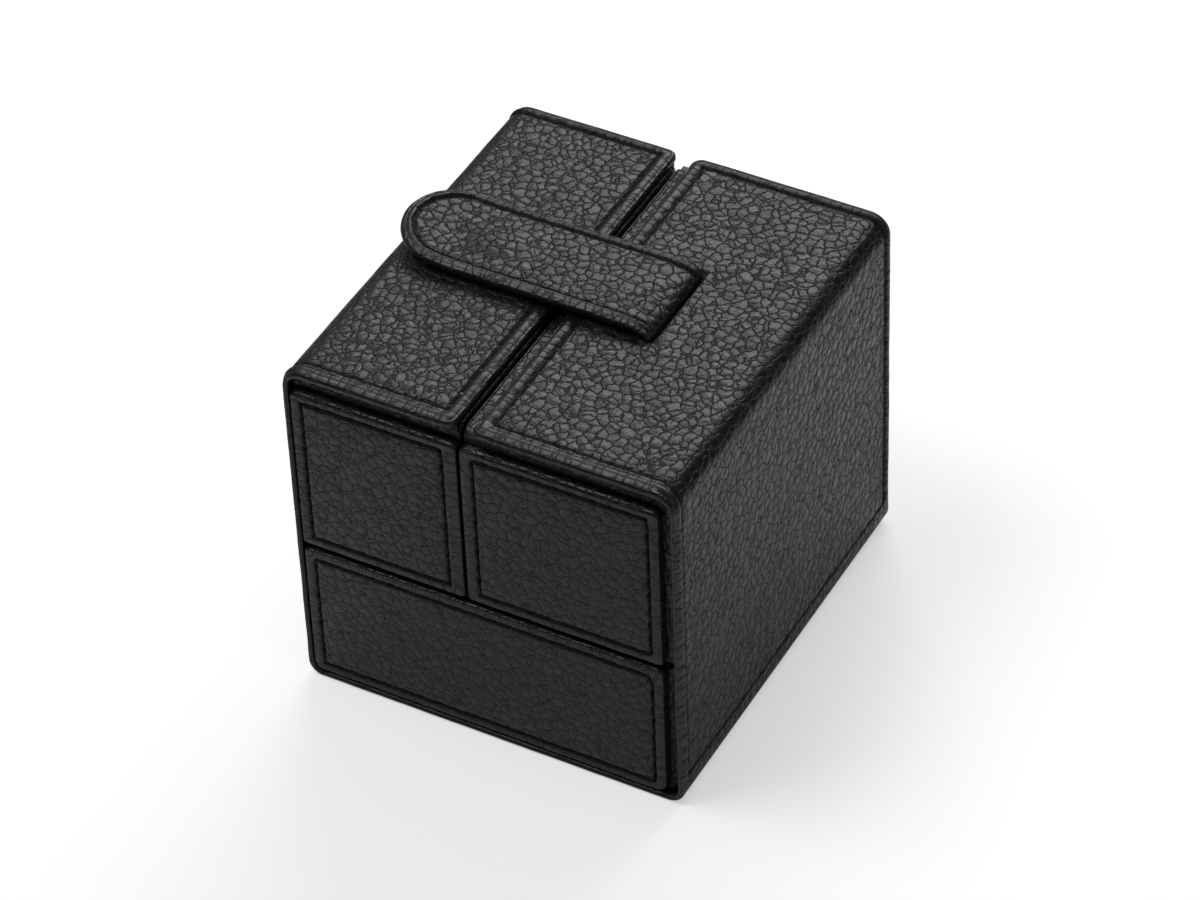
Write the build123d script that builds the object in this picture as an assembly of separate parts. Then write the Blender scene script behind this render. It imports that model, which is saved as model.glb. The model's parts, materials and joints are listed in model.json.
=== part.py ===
"""Fold-out watch travel case: a leather wrap round three open trays, closed by a magnet tab.

The case stands closed on its bottom panel. X runs from left to right seen from the front, Y from
front to back and Z up. The origin is the centre of the footprint. All sizes are in millimetres.
"""
from build123d import *
import os

# The closed wrap
case_width = 100.0
case_depth = 109.0
case_height = 95.0
shoulder_radius = 5.5
fold_radius = 4.0

# The layers of the wrap
leather_skin = 0.7
side_board_thickness = 0.9
flap_board_thickness = 1.5
side_lining_thickness = 0.4
edge_turn = 1.4
rim_round = 0.6
hinge_gap = 0.4
left_flap_length = 44.7
channel_width = 4.3

# The trays
lower_tray_top = 40.9
storey_gap = 1.4
left_tray_depth = 43.5
parting_gap = 1.0
tray_wall = 1.5
tray_lining_thickness = 0.8
tray_corner_round = 2.0
side_clearance = 0.4
divider_thickness = 2.4
divider_below_rim = 4.0

# The stitched panels on the front and the back
panel_thickness = 2.4
panel_corner_radius = 1.5
panel_edge_round = 1.0
panel_left_gap = 0.4
panel_right_gap = 2.6
panel_top_gap = 4.0
panel_bottom_gap = 0.4
left_panel_mouth_gap = 1.1
right_panel_mouth_gap = 0.0

# The soft pieces
soft_gap = 0.3
cushion_length = 62.0
right_cushion_thickness = 34.0
left_cushion_thickness = 28.0
lower_cushion_thickness = 24.0
cushion_crown = 3.0
cushion_end_drop = 1.5
cushion_draw_in = 1.5
cushion_corner_radius = 7.0
crown_level_rise = 0.4
profile_overcut = 0.2
well_pad_thickness = 4.0
well_pad_crown = 0.8

# The tab and its two magnets
tab_width = 26.0
tab_length = 68.0
tab_root_x = 21.2
tab_root_gap = 0.8
tab_centre_y = 2.5
tab_lift = 0.4
tab_leather = 1.1
tab_core_thickness = 0.8
core_root_gap = 6.0
tab_edge_round = 0.9
magnet_radius = 7.0
magnet_fit = 0.1
tab_magnet_thickness = 1.6
magnet_from_tip = 21.6
bump_radius = 9.0
bump_height = 0.6
anchor_length = 12.0
anchor_thickness = 0.8
slit_width = 2.0
slit_fit = 0.2
stub_rise = 0.1

# Places that follow from the sizes above
half_width = case_width / 2
half_depth = case_depth / 2
side_thickness = leather_skin + side_board_thickness
flap_thickness = leather_skin + flap_board_thickness
wall_inside = half_width - side_thickness
flap_underside = case_height - flap_thickness
board_reach = half_depth - edge_turn
wing_foot = fold_radius + hinge_gap
shell_reach = half_depth - panel_thickness
upper_tray_bottom = lower_tray_top + storey_gap
panel_top = flap_underside - panel_top_gap
left_flap_end = half_width - left_flap_length
right_flap_end = -(left_flap_end - channel_width)
left_mouth = wall_inside - left_tray_depth
right_mouth = -(left_mouth - parting_gap)
lower_half_width = wall_inside - side_lining_thickness - side_clearance
tab_underside = case_height + tab_lift
tab_top = tab_underside + 2 * tab_leather + tab_core_thickness
tab_end = tab_root_x - tab_root_gap
tab_tip = tab_end - tab_length
magnet_x = tab_tip + magnet_from_tip


def block(x, y, z):
    """A box between two corners, given as a low and high value on each axis."""
    (x0, x1), (y0, y1), (z0, z1) = sorted(x), sorted(y), sorted(z)
    centre = Pos((x0 + x1) / 2, (y0 + y1) / 2, (z0 + z1) / 2)
    return centre * Box(x1 - x0, y1 - y0, z1 - z0)


def on_side(side, near, far):
    """An X range on the right for side 1 and its mirror image on the left for side -1."""
    return (side * near, side * far)


def edges_along_y(shape, x, z):
    """The edges of shape that run front to back through one X and Z."""
    found = shape.edges().filter_by(Axis.Y)
    return [e for e in found if abs(e.center().X - x) < 0.01 and abs(e.center().Z - z) < 0.01]


def outer_rim_edges(shape, side, flap_end):
    """The outer edges of a wing at its front and back, and the edge of its flap."""
    rim = edges_along_y(shape, side * flap_end, case_height)
    for edge in shape.edges():
        at = edge.center()
        on_face = abs(abs(at.Y) - half_depth) < 0.01
        on_outside = abs(at.X - side * half_width) < 0.01 or abs(at.Z - case_height) < 0.01
        on_shoulder = edge.geom_type == GeomType.CIRCLE and abs(edge.radius - shoulder_radius) < 0.01
        if on_face and (on_outside or on_shoulder):
            rim.append(edge)
    return rim


def wing_leather(side, flap_end):
    """The skin of a side wall, its shoulder and its flap, turned in round the boards."""
    wall = block(on_side(side, wall_inside, half_width), (-half_depth, half_depth), (wing_foot, case_height))
    flap = block(on_side(side, flap_end, half_width), (-half_depth, half_depth), (flap_underside, case_height))
    skin = wall + flap
    skin = fillet(edges_along_y(skin, side * half_width, case_height), shoulder_radius)
    inner_radius = shoulder_radius - side_thickness
    skin = fillet(edges_along_y(skin, side * wall_inside, flap_underside), inner_radius)
    skin = fillet(outer_rim_edges(skin, side, flap_end), rim_round)
    return skin - side_board(side) - flap_pocket(side, flap_end)


def side_board(side):
    """The stiff board inside a side wall."""
    return block(
        on_side(side, wall_inside, wall_inside + side_board_thickness),
        (-board_reach, board_reach),
        (wing_foot + edge_turn, case_height - shoulder_radius),
    )


def flap_pocket(side, flap_end):
    """The room for the board inside a flap."""
    return block(
        on_side(side, flap_end + edge_turn, half_width - shoulder_radius),
        (-board_reach, board_reach),
        (flap_underside, flap_underside + flap_board_thickness),
    )


def side_lining(side):
    """The lining on the inside of a side wall, beside the lower tray."""
    return block(
        on_side(side, wall_inside - side_lining_thickness, wall_inside),
        (-shell_reach + side_clearance, shell_reach - side_clearance),
        (wing_foot, upper_tray_bottom),
    )


def fold_leather(side):
    """The quarter-round strip of leather that a wing folds about."""
    centre_x = side * (half_width - fold_radius)
    centre = Pos(centre_x, 0, fold_radius) * Rot(90, 0, 0)
    ring = centre * Cylinder(fold_radius, case_depth)
    ring -= centre * Cylinder(fold_radius - side_thickness, case_depth)
    corner = block((centre_x, side * half_width), (-half_depth, half_depth), (0, fold_radius))
    return ring & corner


def bottom_leather():
    """The skin under the case, turned up round the front and back of its board."""
    reach = half_width - fold_radius
    skin = block((-reach, reach), (-half_depth, half_depth), (0, side_thickness))
    rim = [e for e in skin.edges().filter_by(Axis.X) if e.center().Z < 0.01]
    return fillet(rim, rim_round) - bottom_board()


def bottom_board():
    reach = half_width - fold_radius
    return block((-reach, reach), (-board_reach, board_reach), (leather_skin, side_thickness))


def upper_tray_outside(side, mouth):
    """The block of a tray that is carried by a wing, with the corner that clears the shoulder."""
    body = block(
        on_side(side, mouth + leather_skin, wall_inside),
        (-shell_reach, shell_reach),
        (upper_tray_bottom + leather_skin, flap_underside),
    )
    return fillet(edges_along_y(body, side * wall_inside, flap_underside), shoulder_radius - side_thickness)


def upper_tray_cavity(side, mouth, wall):
    """The hollow of an upper tray, inside a wall of that thickness and open at the mouth."""
    return block(
        on_side(side, mouth, wall_inside - wall),
        (-shell_reach + wall, shell_reach - wall),
        (upper_tray_bottom + leather_skin + wall, flap_underside - wall),
    )


def lower_tray_outside():
    """The block of the lower tray, rounded where it stands in the folds."""
    reach = lower_half_width - leather_skin
    body = block((-reach, reach), (-shell_reach, shell_reach), (side_thickness, lower_tray_top - leather_skin))
    foot = edges_along_y(body, reach, side_thickness) + edges_along_y(body, -reach, side_thickness)
    return fillet(foot, tray_corner_round)


def lower_tray_cavity(wall):
    """The hollow of the lower tray, inside a wall of that thickness and open at the top."""
    reach = lower_half_width - leather_skin - wall
    return block(
        (-reach, reach),
        (-shell_reach + wall, shell_reach - wall),
        (side_thickness + wall, lower_tray_top),
    )


def lower_cover(side):
    """The leather on an outer side of the lower tray."""
    return block(
        on_side(side, lower_half_width - leather_skin, lower_half_width),
        (-shell_reach, shell_reach),
        (side_thickness + tray_corner_round, lower_tray_top),
    )


def panel(x, z, facing):
    """A padded board covered in leather, on the front for facing -1 and on the back for facing 1."""
    outer = facing * half_depth
    inner = facing * shell_reach
    body = block(x, (outer, inner), z)
    body = fillet(body.edges().filter_by(Axis.Y), panel_corner_radius)
    face_edges = [e for e in body.edges() if abs(e.center().Y - outer) < 0.01]
    return fillet(face_edges, panel_edge_round)


def cushion(length, width, height, crown, end_drop, draw_in, corner_radius):
    """A crowned pad on its flat seat. Its sides pull in between the corners.

    Length runs along local X, width along local Y and height along local Z. The crown runs level in
    the middle and drops at both ends.
    """
    half_l, half_w = length / 2, width / 2
    reach_l, reach_w = half_l + profile_overcut, half_w + profile_overcut
    side_height = height - crown
    end_height = height - end_drop
    level = height + crown_level_rise
    plan = make_face([
        ThreePointArc((-half_l, -half_w), (0, -half_w + draw_in), (half_l, -half_w)),
        ThreePointArc((half_l, -half_w), (half_l - draw_in / 2, 0), (half_l, half_w)),
        ThreePointArc((half_l, half_w), (0, half_w - draw_in), (-half_l, half_w)),
        ThreePointArc((-half_l, half_w), (-half_l + draw_in / 2, 0), (-half_l, -half_w)),
    ])
    across = Plane.YZ * make_face([
        Line((-reach_w, 0), (reach_w, 0)),
        Line((reach_w, 0), (reach_w, side_height)),
        ThreePointArc((reach_w, side_height), (0, height), (-reach_w, side_height)),
        Line((-reach_w, side_height), (-reach_w, 0)),
    ])
    along = Plane.XZ * make_face([
        Line((-reach_l, 0), (reach_l, 0)),
        Line((reach_l, 0), (reach_l, end_height)),
        ThreePointArc((reach_l, end_height), (0, level), (-reach_l, end_height)),
        Line((-reach_l, end_height), (-reach_l, 0)),
    ])
    bar = extrude(across, amount=reach_l, both=True)
    shoulders = [
        e for e in bar.edges().filter_by(Axis.X) if e.center().Z > 0.01
    ]
    bar = fillet(shoulders, corner_radius)
    return extrude(plan, amount=level) & bar & extrude(along, amount=reach_w, both=True)


def upper_cushion(side, thickness):
    """A watch cushion against the back of an upper tray, with its crown towards the mouth."""
    lined = tray_wall + tray_lining_thickness
    low = upper_tray_bottom + leather_skin + lined + soft_gap
    high = flap_underside - lined - soft_gap
    pad = cushion(
        high - low, cushion_length, thickness,
        cushion_crown, cushion_end_drop, cushion_draw_in, cushion_corner_radius,
    )
    seat_x = side * (wall_inside - lined - soft_gap)
    seat = Plane(origin=(seat_x, 0, (low + high) / 2), x_dir=(0, 0, 1), z_dir=(-side, 0, 0))
    return seat.location * pad


def lower_compartment(side):
    """The X range between the divider and the lining on one side of the lower tray."""
    lined = tray_wall + tray_lining_thickness
    near = divider_thickness / 2 + soft_gap
    far = lower_half_width - leather_skin - lined - soft_gap
    return near, far, side * (near + far) / 2


def lower_floor():
    return side_thickness + tray_wall + tray_lining_thickness + soft_gap


def lower_cushion():
    near, far, middle = lower_compartment(-1)
    pad = cushion(
        far - near, cushion_length, lower_cushion_thickness,
        cushion_crown, cushion_end_drop, cushion_draw_in, cushion_corner_radius,
    )
    return Pos(middle, 0, lower_floor()) * pad


def well_pad():
    near, far, middle = lower_compartment(1)
    reach = shell_reach - tray_wall - tray_lining_thickness - soft_gap
    pad = cushion(
        far - near, 2 * reach, well_pad_thickness,
        well_pad_crown, well_pad_crown / 2, well_pad_crown, well_pad_crown,
    )
    return Pos(middle, 0, lower_floor()) * pad


def tab_slab(inset, root, low, high):
    """A layer of the tab: a strip with a round tip, drawn in by inset, that ends at X = root."""
    half = tab_width / 2 - inset
    round_centre = tab_tip + tab_width / 2
    front, back = tab_centre_y - half, tab_centre_y + half
    outline = make_face([
        Line((root, front), (root, back)),
        Line((root, back), (round_centre, back)),
        ThreePointArc((round_centre, back), (round_centre - half, tab_centre_y), (round_centre, front)),
        Line((round_centre, front), (root, front)),
    ])
    return Pos(0, 0, low) * extrude(outline, amount=high - low)


def core_layer():
    """The room for the stiffener, which stops short of the root so that the leather can bend there."""
    low = tab_underside + tab_leather
    return tab_slab(edge_turn, tab_end - core_root_gap, low, low + tab_core_thickness)


def disc(x, radius, low, high):
    """A flat round piece under or in the tab, on the magnets' line."""
    return Pos(x, tab_centre_y, (low + high) / 2) * Cylinder(radius, high - low)


def tab_core():
    """The stiffener inside the tab, with a hole for the magnet."""
    low = tab_underside + tab_leather
    return core_layer() - disc(magnet_x, magnet_radius + magnet_fit, low, low + tab_core_thickness)


def tab_magnet():
    low = tab_underside + tab_leather
    return disc(magnet_x, magnet_radius, low, low + tab_magnet_thickness)


def tab_under_leather():
    return tab_slab(0, tab_end, tab_underside, tab_underside + tab_leather)


def tab_top_leather():
    """The upper skin of the tab, drawn down round the core and raised over the magnet."""
    low = tab_underside + tab_leather
    skin = tab_slab(0, tab_end, low, tab_top)
    top_edges = [e for e in skin.edges() if abs(e.center().Z - tab_top) < 0.01]
    skin = fillet(top_edges, tab_edge_round)
    bump_sphere_radius = (bump_radius ** 2 + bump_height ** 2) / (2 * bump_height)
    sphere = Pos(magnet_x, tab_centre_y, tab_top + bump_height - bump_sphere_radius) * Sphere(bump_sphere_radius)
    skin += sphere & disc(magnet_x, bump_radius, tab_top - leather_skin / 2, tab_top + bump_height)
    skin -= core_layer()
    return skin - disc(magnet_x, magnet_radius + magnet_fit, low, low + tab_magnet_thickness)


def tab_half_span(extra):
    return (tab_centre_y - tab_width / 2 - extra, tab_centre_y + tab_width / 2 + extra)


def slit():
    """The cut in the right flap that the tab goes through."""
    return block(
        (tab_root_x - slit_width / 2, tab_root_x + slit_width / 2),
        tab_half_span(slit_fit),
        (flap_underside + flap_board_thickness, case_height),
    )


def anchor_seat(fit):
    """The place of the tab's root on the flap board, under the leather."""
    top = flap_underside + flap_board_thickness
    return block(
        (tab_root_x - slit_width / 2, tab_root_x + anchor_length + fit),
        tab_half_span(fit),
        (top - anchor_thickness, top),
    )


def tab_anchor():
    """The root of the tab, sewn under the flap's leather, with its end turned up in the slit."""
    stub = block(
        (tab_root_x - slit_width / 2 + slit_fit, tab_root_x + slit_width / 2 - slit_fit),
        tab_half_span(0),
        (flap_underside + flap_board_thickness, case_height + stub_rise),
    )
    return anchor_seat(0) + stub


def keeper_magnet():
    return disc(magnet_x, magnet_radius, flap_underside, flap_underside + flap_board_thickness)


def keeper_hole():
    return disc(magnet_x, magnet_radius + magnet_fit, flap_underside, flap_underside + flap_board_thickness)


def base_pieces():
    shell_outside = lower_tray_outside()
    lined = tray_wall + tray_lining_thickness
    panel_x = (-wall_inside + panel_left_gap, wall_inside - panel_right_gap)
    panel_z = (side_thickness + panel_bottom_gap, lower_tray_top)
    binding_top = (lower_tray_top - leather_skin, lower_tray_top)
    reach = lower_half_width - leather_skin
    binding = block((-reach, reach), (-shell_reach, shell_reach), binding_top)
    divider_reach = shell_reach - lined
    return {
        "bottom_leather": bottom_leather(),
        "bottom_board": bottom_board(),
        "left_fold_leather": fold_leather(-1),
        "right_fold_leather": fold_leather(1),
        "lower_tray_shell": shell_outside - lower_tray_cavity(tray_wall),
        "lower_tray_lining": (shell_outside & lower_tray_cavity(tray_wall)) - lower_tray_cavity(lined),
        "lower_tray_binding": binding - lower_tray_cavity(lined),
        "lower_front_panel": panel(panel_x, panel_z, -1),
        "lower_back_panel": panel(panel_x, panel_z, 1),
        "lower_left_cover": lower_cover(-1),
        "lower_right_cover": lower_cover(1),
        "tray_divider": block(
            (-divider_thickness / 2, divider_thickness / 2),
            (-divider_reach, divider_reach),
            (side_thickness + lined, lower_tray_top - divider_below_rim),
        ),
        "lower_watch_cushion": lower_cushion(),
        "accessory_well_pad": well_pad(),
    }


def wing_pieces(name, side, flap_end, mouth, panel_gaps, cushion_thickness):
    """One wing with its tray. Flap_end and mouth are distances from the middle, towards that side.

    Panel_gaps are the panels' gaps to the mouth and to the side wall.
    """
    shell_outside = upper_tray_outside(side, mouth)
    lined = tray_wall + tray_lining_thickness
    mouth_gap, wall_gap = panel_gaps
    panel_x = on_side(side, mouth + mouth_gap, wall_inside - wall_gap)
    panel_z = (upper_tray_bottom, panel_top)
    binding = block(
        on_side(side, mouth, mouth + leather_skin),
        (-shell_reach, shell_reach),
        (upper_tray_bottom, flap_underside),
    )
    return {
        name + "_wing_leather": wing_leather(side, flap_end),
        name + "_side_board": side_board(side),
        name + "_flap_board": flap_pocket(side, flap_end),
        name + "_side_lining": side_lining(side),
        name + "_tray_shell": shell_outside - upper_tray_cavity(side, mouth, tray_wall),
        name + "_tray_lining": (
            (shell_outside & upper_tray_cavity(side, mouth, tray_wall)) - upper_tray_cavity(side, mouth, lined)
        ),
        name + "_tray_binding": binding - upper_tray_cavity(side, mouth, lined),
        name + "_tray_base_cover": block(
            on_side(side, mouth + leather_skin, wall_inside),
            (-shell_reach, shell_reach),
            (upper_tray_bottom, upper_tray_bottom + leather_skin),
        ),
        name + "_front_panel": panel(panel_x, panel_z, -1),
        name + "_back_panel": panel(panel_x, panel_z, 1),
        name + "_watch_cushion": upper_cushion(side, cushion_thickness),
    }


def tab_pieces():
    return {
        "tab_top_leather": tab_top_leather(),
        "tab_core": tab_core(),
        "tab_under_leather": tab_under_leather(),
        "tab_magnet": tab_magnet(),
    }


def all_pieces():
    pieces = base_pieces()
    right_gaps = (right_panel_mouth_gap, panel_right_gap)
    left_gaps = (left_panel_mouth_gap, panel_left_gap)
    pieces.update(wing_pieces("right", 1, right_flap_end, right_mouth, right_gaps, right_cushion_thickness))
    pieces.update(wing_pieces("left", -1, left_flap_end, left_mouth, left_gaps, left_cushion_thickness))
    pieces["right_wing_leather"] -= slit()
    pieces["right_flap_board"] -= anchor_seat(slit_fit)
    pieces["tab_anchor"] = tab_anchor()
    pieces["left_flap_board"] -= keeper_hole()
    pieces["keeper_magnet"] = keeper_magnet()
    pieces.update(tab_pieces())
    return pieces


os.makedirs("parts", exist_ok=True)
for node, shape in all_pieces().items():
    export_step(shape, "parts/" + node + ".step")
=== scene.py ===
"""The looks of a fold-out watch travel case: pebbled leather, stitching, suede and cushions."""
import json
import math

import bmesh
import bpy
import numpy as np
from bpy.props import FloatProperty, FloatVectorProperty, IntProperty, PointerProperty
from mathutils import Matrix, Vector, noise
from mathutils.bvhtree import BVHTree


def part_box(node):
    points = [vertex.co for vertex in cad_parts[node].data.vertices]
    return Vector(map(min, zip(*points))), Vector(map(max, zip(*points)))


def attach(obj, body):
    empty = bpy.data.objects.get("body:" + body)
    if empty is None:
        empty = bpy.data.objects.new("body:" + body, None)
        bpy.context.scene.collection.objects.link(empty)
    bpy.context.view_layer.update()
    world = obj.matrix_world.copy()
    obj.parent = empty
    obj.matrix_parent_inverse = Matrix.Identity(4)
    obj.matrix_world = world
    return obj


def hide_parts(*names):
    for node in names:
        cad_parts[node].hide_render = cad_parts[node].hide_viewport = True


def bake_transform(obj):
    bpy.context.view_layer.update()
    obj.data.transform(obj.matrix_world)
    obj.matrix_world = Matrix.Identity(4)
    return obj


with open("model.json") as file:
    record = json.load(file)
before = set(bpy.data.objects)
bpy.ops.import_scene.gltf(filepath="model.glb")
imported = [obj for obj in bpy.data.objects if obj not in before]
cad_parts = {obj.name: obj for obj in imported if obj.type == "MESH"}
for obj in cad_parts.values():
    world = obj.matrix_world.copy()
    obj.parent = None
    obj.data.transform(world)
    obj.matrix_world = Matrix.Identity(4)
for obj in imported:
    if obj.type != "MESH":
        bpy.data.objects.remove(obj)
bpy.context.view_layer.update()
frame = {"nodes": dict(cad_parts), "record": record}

bl_info = {
    "name": "Watch Travel Case",
    "version": (1, 0, 0),
    "blender": (4, 5, 0),
    "location": "3D View > Sidebar > Travel Case",
    "description": "Dresses the packed model of a fold-out watch travel case",
    "category": "Add Mesh",
}

MM = 0.001


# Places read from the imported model

def low(node, axis):
    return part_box(node)[0]["xyz".index(axis)]


def high(node, axis):
    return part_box(node)[1]["xyz".index(axis)]


half_width = high("right_wing_leather", "x")
half_depth = high("right_wing_leather", "y")
case_height = high("right_wing_leather", "z")
fold_radius = high("right_fold_leather", "z")
shoulder_radius = case_height - high("right_side_board", "z")
side_thickness = high("bottom_leather", "z")
flap_thickness = case_height - low("right_flap_board", "z")
flap_starts = {"right": low("right_wing_leather", "x"), "left": -high("left_wing_leather", "x")}
sides = {"right": 1, "left": -1}
tab_tip = low("tab_top_leather", "x")
tab_front = low("tab_top_leather", "y")
tab_back = high("tab_top_leather", "y")
tab_underside = low("tab_under_leather", "z")
tab_core_top = high("tab_core", "z")
tab_top = tab_core_top + (low("tab_core", "z") - tab_underside)
magnet_place = (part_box("tab_magnet")[0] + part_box("tab_magnet")[1]) / 2
tray_wall_width = high("left_tray_shell", "y") - high("left_tray_lining", "y") + 0.8 * MM


# Sizes and colours that a user would change

def size_prop(name, millimetres, about):
    return FloatProperty(name=name, description=about, default=millimetres * MM, unit="LENGTH")


def share_prop(name, value, about):
    return FloatProperty(name=name, description=about, default=value, subtype="FACTOR", min=0, max=1)


def level_prop(name, value, about, unit="NONE"):
    return FloatProperty(name=name, description=about, default=value, min=0, unit=unit)


def angle_prop(name, degrees, about):
    return FloatProperty(name=name, description=about, default=math.radians(degrees), subtype="ANGLE")


def vector_prop(name, values, about, kind):
    return FloatVectorProperty(name=name, description=about, default=values, subtype=kind)


class LeatherSettings(bpy.types.PropertyGroup):
    colour: vector_prop("Colour", (0.0085, 0.0085, 0.009), "Colour of the dyed hide", "COLOR")
    # Painted shade: the creases, the stitch grooves and the slit's cut are painted towards this colour.
    crease_shade_colour: vector_prop("Crease colour", (0.0018, 0.0018, 0.0019), "Colour of the creases", "COLOR")
    cell: size_prop("Grain cell", 2.55, "Width of one pebble of the grain")
    grain_depth: size_prop("Grain depth", 0.4, "Depth of the creases between the pebbles")
    roughness: share_prop("Roughness", 0.34, "Roughness of the finish on a pebble")
    rim_press: share_prop("Rim press", 0.32, "Share of the grain's width left across a stitched rim")


class SeamSettings(bpy.types.PropertyGroup):
    pitch: size_prop("Pitch", 4.5, "Distance from one stitch to the next")
    thread: size_prop("Thread", 0.5, "Diameter of the thread")
    stitch_share: share_prop("Stitch share", 0.88, "Share of the pitch that the thread shows")
    slant: size_prop("Slant", 0.16, "Sideways lean of each stitch")
    groove_depth: size_prop("Groove depth", 0.6, "How far the thread pulls the leather in")
    groove_width: size_prop("Groove width", 0.38, "Half width of the pulled-in line")


class WrapSettings(bpy.types.PropertyGroup):
    front_inset_top: size_prop("Front inset, top", 4.56, "Front seam to the front edge, on a flap")
    front_inset_side: size_prop("Front inset, side", 3.21, "Front seam to the front edge, on a side wall")
    back_inset: size_prop("Back inset", 3.2, "Back seam to the back edge")
    flap_inset: size_prop("Flap inset", 3.84, "Seam to the flap's inner edge")
    foot_height: size_prop("Foot seam", 7.6, "Height of the seam along a side wall's foot")
    edge_round: size_prop("Edge round", 0.9, "How far the turned edge reaches past its flat face")
    bead: size_prop("Bead", 0.44, "Swell of the leather between a seam and its edge")
    swell: size_prop("Swell", 0.12, "Swell of the leather inside a seam")
    ripple: size_prop("Ripple", 0.09, "Height of the hide's slow waves")
    flap_corner: size_prop("Flap corner", 1.8, "Radius of a flap's corners")


class PanelSettings(bpy.types.PropertyGroup):
    edge_round: size_prop("Edge round", 0.45, "Radius of a panel's folded edges")
    top_round: size_prop("Top round", 1.5, "How far an upper panel's top edge rounds down")
    corner: size_prop("Corner", 0.6, "Radius of a panel's corners")
    foot_corner: size_prop("Foot corner", 2.4, "Radius of the lower panels' bottom corners")
    seam_corner: size_prop("Seam corner", 3.0, "Radius of the lower seams' top right corner")
    inset_left: size_prop("Left inset", 2.7, "Seam to the panel's left edge")
    inset_right: size_prop("Right inset", 3.1, "Seam to the panel's right edge")
    inset_top: size_prop("Top inset", 3.0, "Seam to the panel's top edge")
    inset_bottom: size_prop("Bottom inset", 2.6, "Seam to the panel's bottom edge")
    padding: size_prop("Padding", 0.3, "Rise of the padded middle of a panel")
    border: size_prop("Border", 0.12, "Swell of the leather between the seam and the edge")
    ripple: size_prop("Ripple", 0.08, "Height of the leather's slow waves")
    lip_reach: size_prop("Lip reach", 0.25, "How far the soft edge stands towards the left lip")
    left_reach: size_prop("Left reach", 1.0, "How far a left panel's edge stands towards the parting")
    right_reach: size_prop("Right reach", 0.65, "How far a right panel's edge stands towards the parting")


class TabSettings(bpy.types.PropertyGroup):
    bend_radius: size_prop("Bend height", 3.3, "Height over which the tab turns down into its slit")
    bend_run: size_prop("Bend run", 9.0, "Length over which the tab turns down into its slit")
    hinge_run: size_prop("Hinge run", 4.0, "Length of the tab that bends when it is lifted")
    tip_lift: size_prop("Tip lift", 2.0, "How far the tip curls up")
    tip_reach: size_prop("Tip reach", 1.5, "How far the soft edge stands past the tip")
    back_reach: size_prop("Back reach", 1.0, "How far the soft edge stands past the back edge")
    edge_round: size_prop("Edge round", 1.3, "How far the tab's edge rounds out")
    thickness: size_prop("Thickness", 2.1, "Thickness of the tab at its edge")
    root_thickness: size_prop("Root thickness", 1.1, "Thickness of the tab in its slit")
    seam_inset: size_prop("Seam inset", 3.0, "Seam to the tab's edge")
    crown: size_prop("Crown", 0.2, "Rise of the tab's middle line")
    ripple: size_prop("Ripple", 0.08, "Height of the leather's slow waves")
    slit_place: size_prop("Slit place", 21.3, "X of the slit's outer lip")
    slit_depth: size_prop("Slit depth", 1.4, "Visible depth of the slit")
    slit_past: size_prop("Slit past the tab", 1.8, "How far the slit runs past the tab's back edge")
    bump_radius: size_prop("Bump radius", 7.4, "Radius of the rise over the magnet")
    bump_height: size_prop("Bump height", 0.9, "Height of the rise over the magnet")
    pucker: size_prop("Pucker", 0.2, "Height of the folds that fan out from the slit")


class SoftSettings(bpy.types.PropertyGroup):
    voxel: size_prop("Voxel", 2.6, "Step of the cloth's mesh")
    shrink: size_prop("Shrink", 1.6, "How much smaller a cushion starts")
    travel: size_prop("Travel", 1.9, "Most that a cushion's cloth may swell")
    pad_shrink: size_prop("Pad shrink", 0.7, "How much smaller the well's pad starts")
    pad_travel: size_prop("Pad travel", 0.8, "Most that the pad's cloth may swell")
    frames: IntProperty(name="Frames", description="Steps of the cloth simulation", default=20)
    seam_inset: size_prop("Seam inset", 4.5, "Piped seam to a cushion's end")
    piping: size_prop("Piping", 1.1, "Diameter of a cushion's piping")


class StageSettings(bpy.types.PropertyGroup):
    target: vector_prop(
        "Target", (2.7 * MM, -3.3 * MM, 50 * MM), "Point that the camera looks at", "TRANSLATION",
    )
    distance: size_prop("Distance", 1145.3, "Camera to target")
    azimuth: angle_prop("Azimuth", 29.8, "Turn of the camera to the right of the front")
    elevation: angle_prop("Elevation", 41.61, "Angle of the camera above the floor")
    roll: angle_prop("Roll", -2.418, "Lean of the camera to its left")
    lens: level_prop("Lens", 147.52, "Focal length in millimetres", "CAMERA")
    back_light: level_prop("Back light", 7.0, "Power of the softbox behind the case", "POWER")
    top_light: level_prop("Top light", 3.4, "Power of the softbox over the case", "POWER")
    fill_light: level_prop("Fill light", 0.9, "Power of the softbox right of the case", "POWER")
    ambient: level_prop("Ambient", 0.16, "Strength of the room's even light")
    floor_glow: level_prop("Floor glow", 0.47, "White added to the floor for the camera")
    lit_level: level_prop("Lit level", 0.35, "Brightness of the room's bright side in glossy things")
    lit_way: vector_prop("Lit way", (-0.5, 0.28, 0.82), "Direction of the room's bright side", "DIRECTION")


setting_groups = {
    "leather": LeatherSettings,
    "seam": SeamSettings,
    "wrap": WrapSettings,
    "panel": PanelSettings,
    "tab": TabSettings,
    "soft": SoftSettings,
    "stage": StageSettings,
}


def settings(name):
    return getattr(bpy.context.scene, "travel_case_" + name)


# Shader graphs

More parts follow.
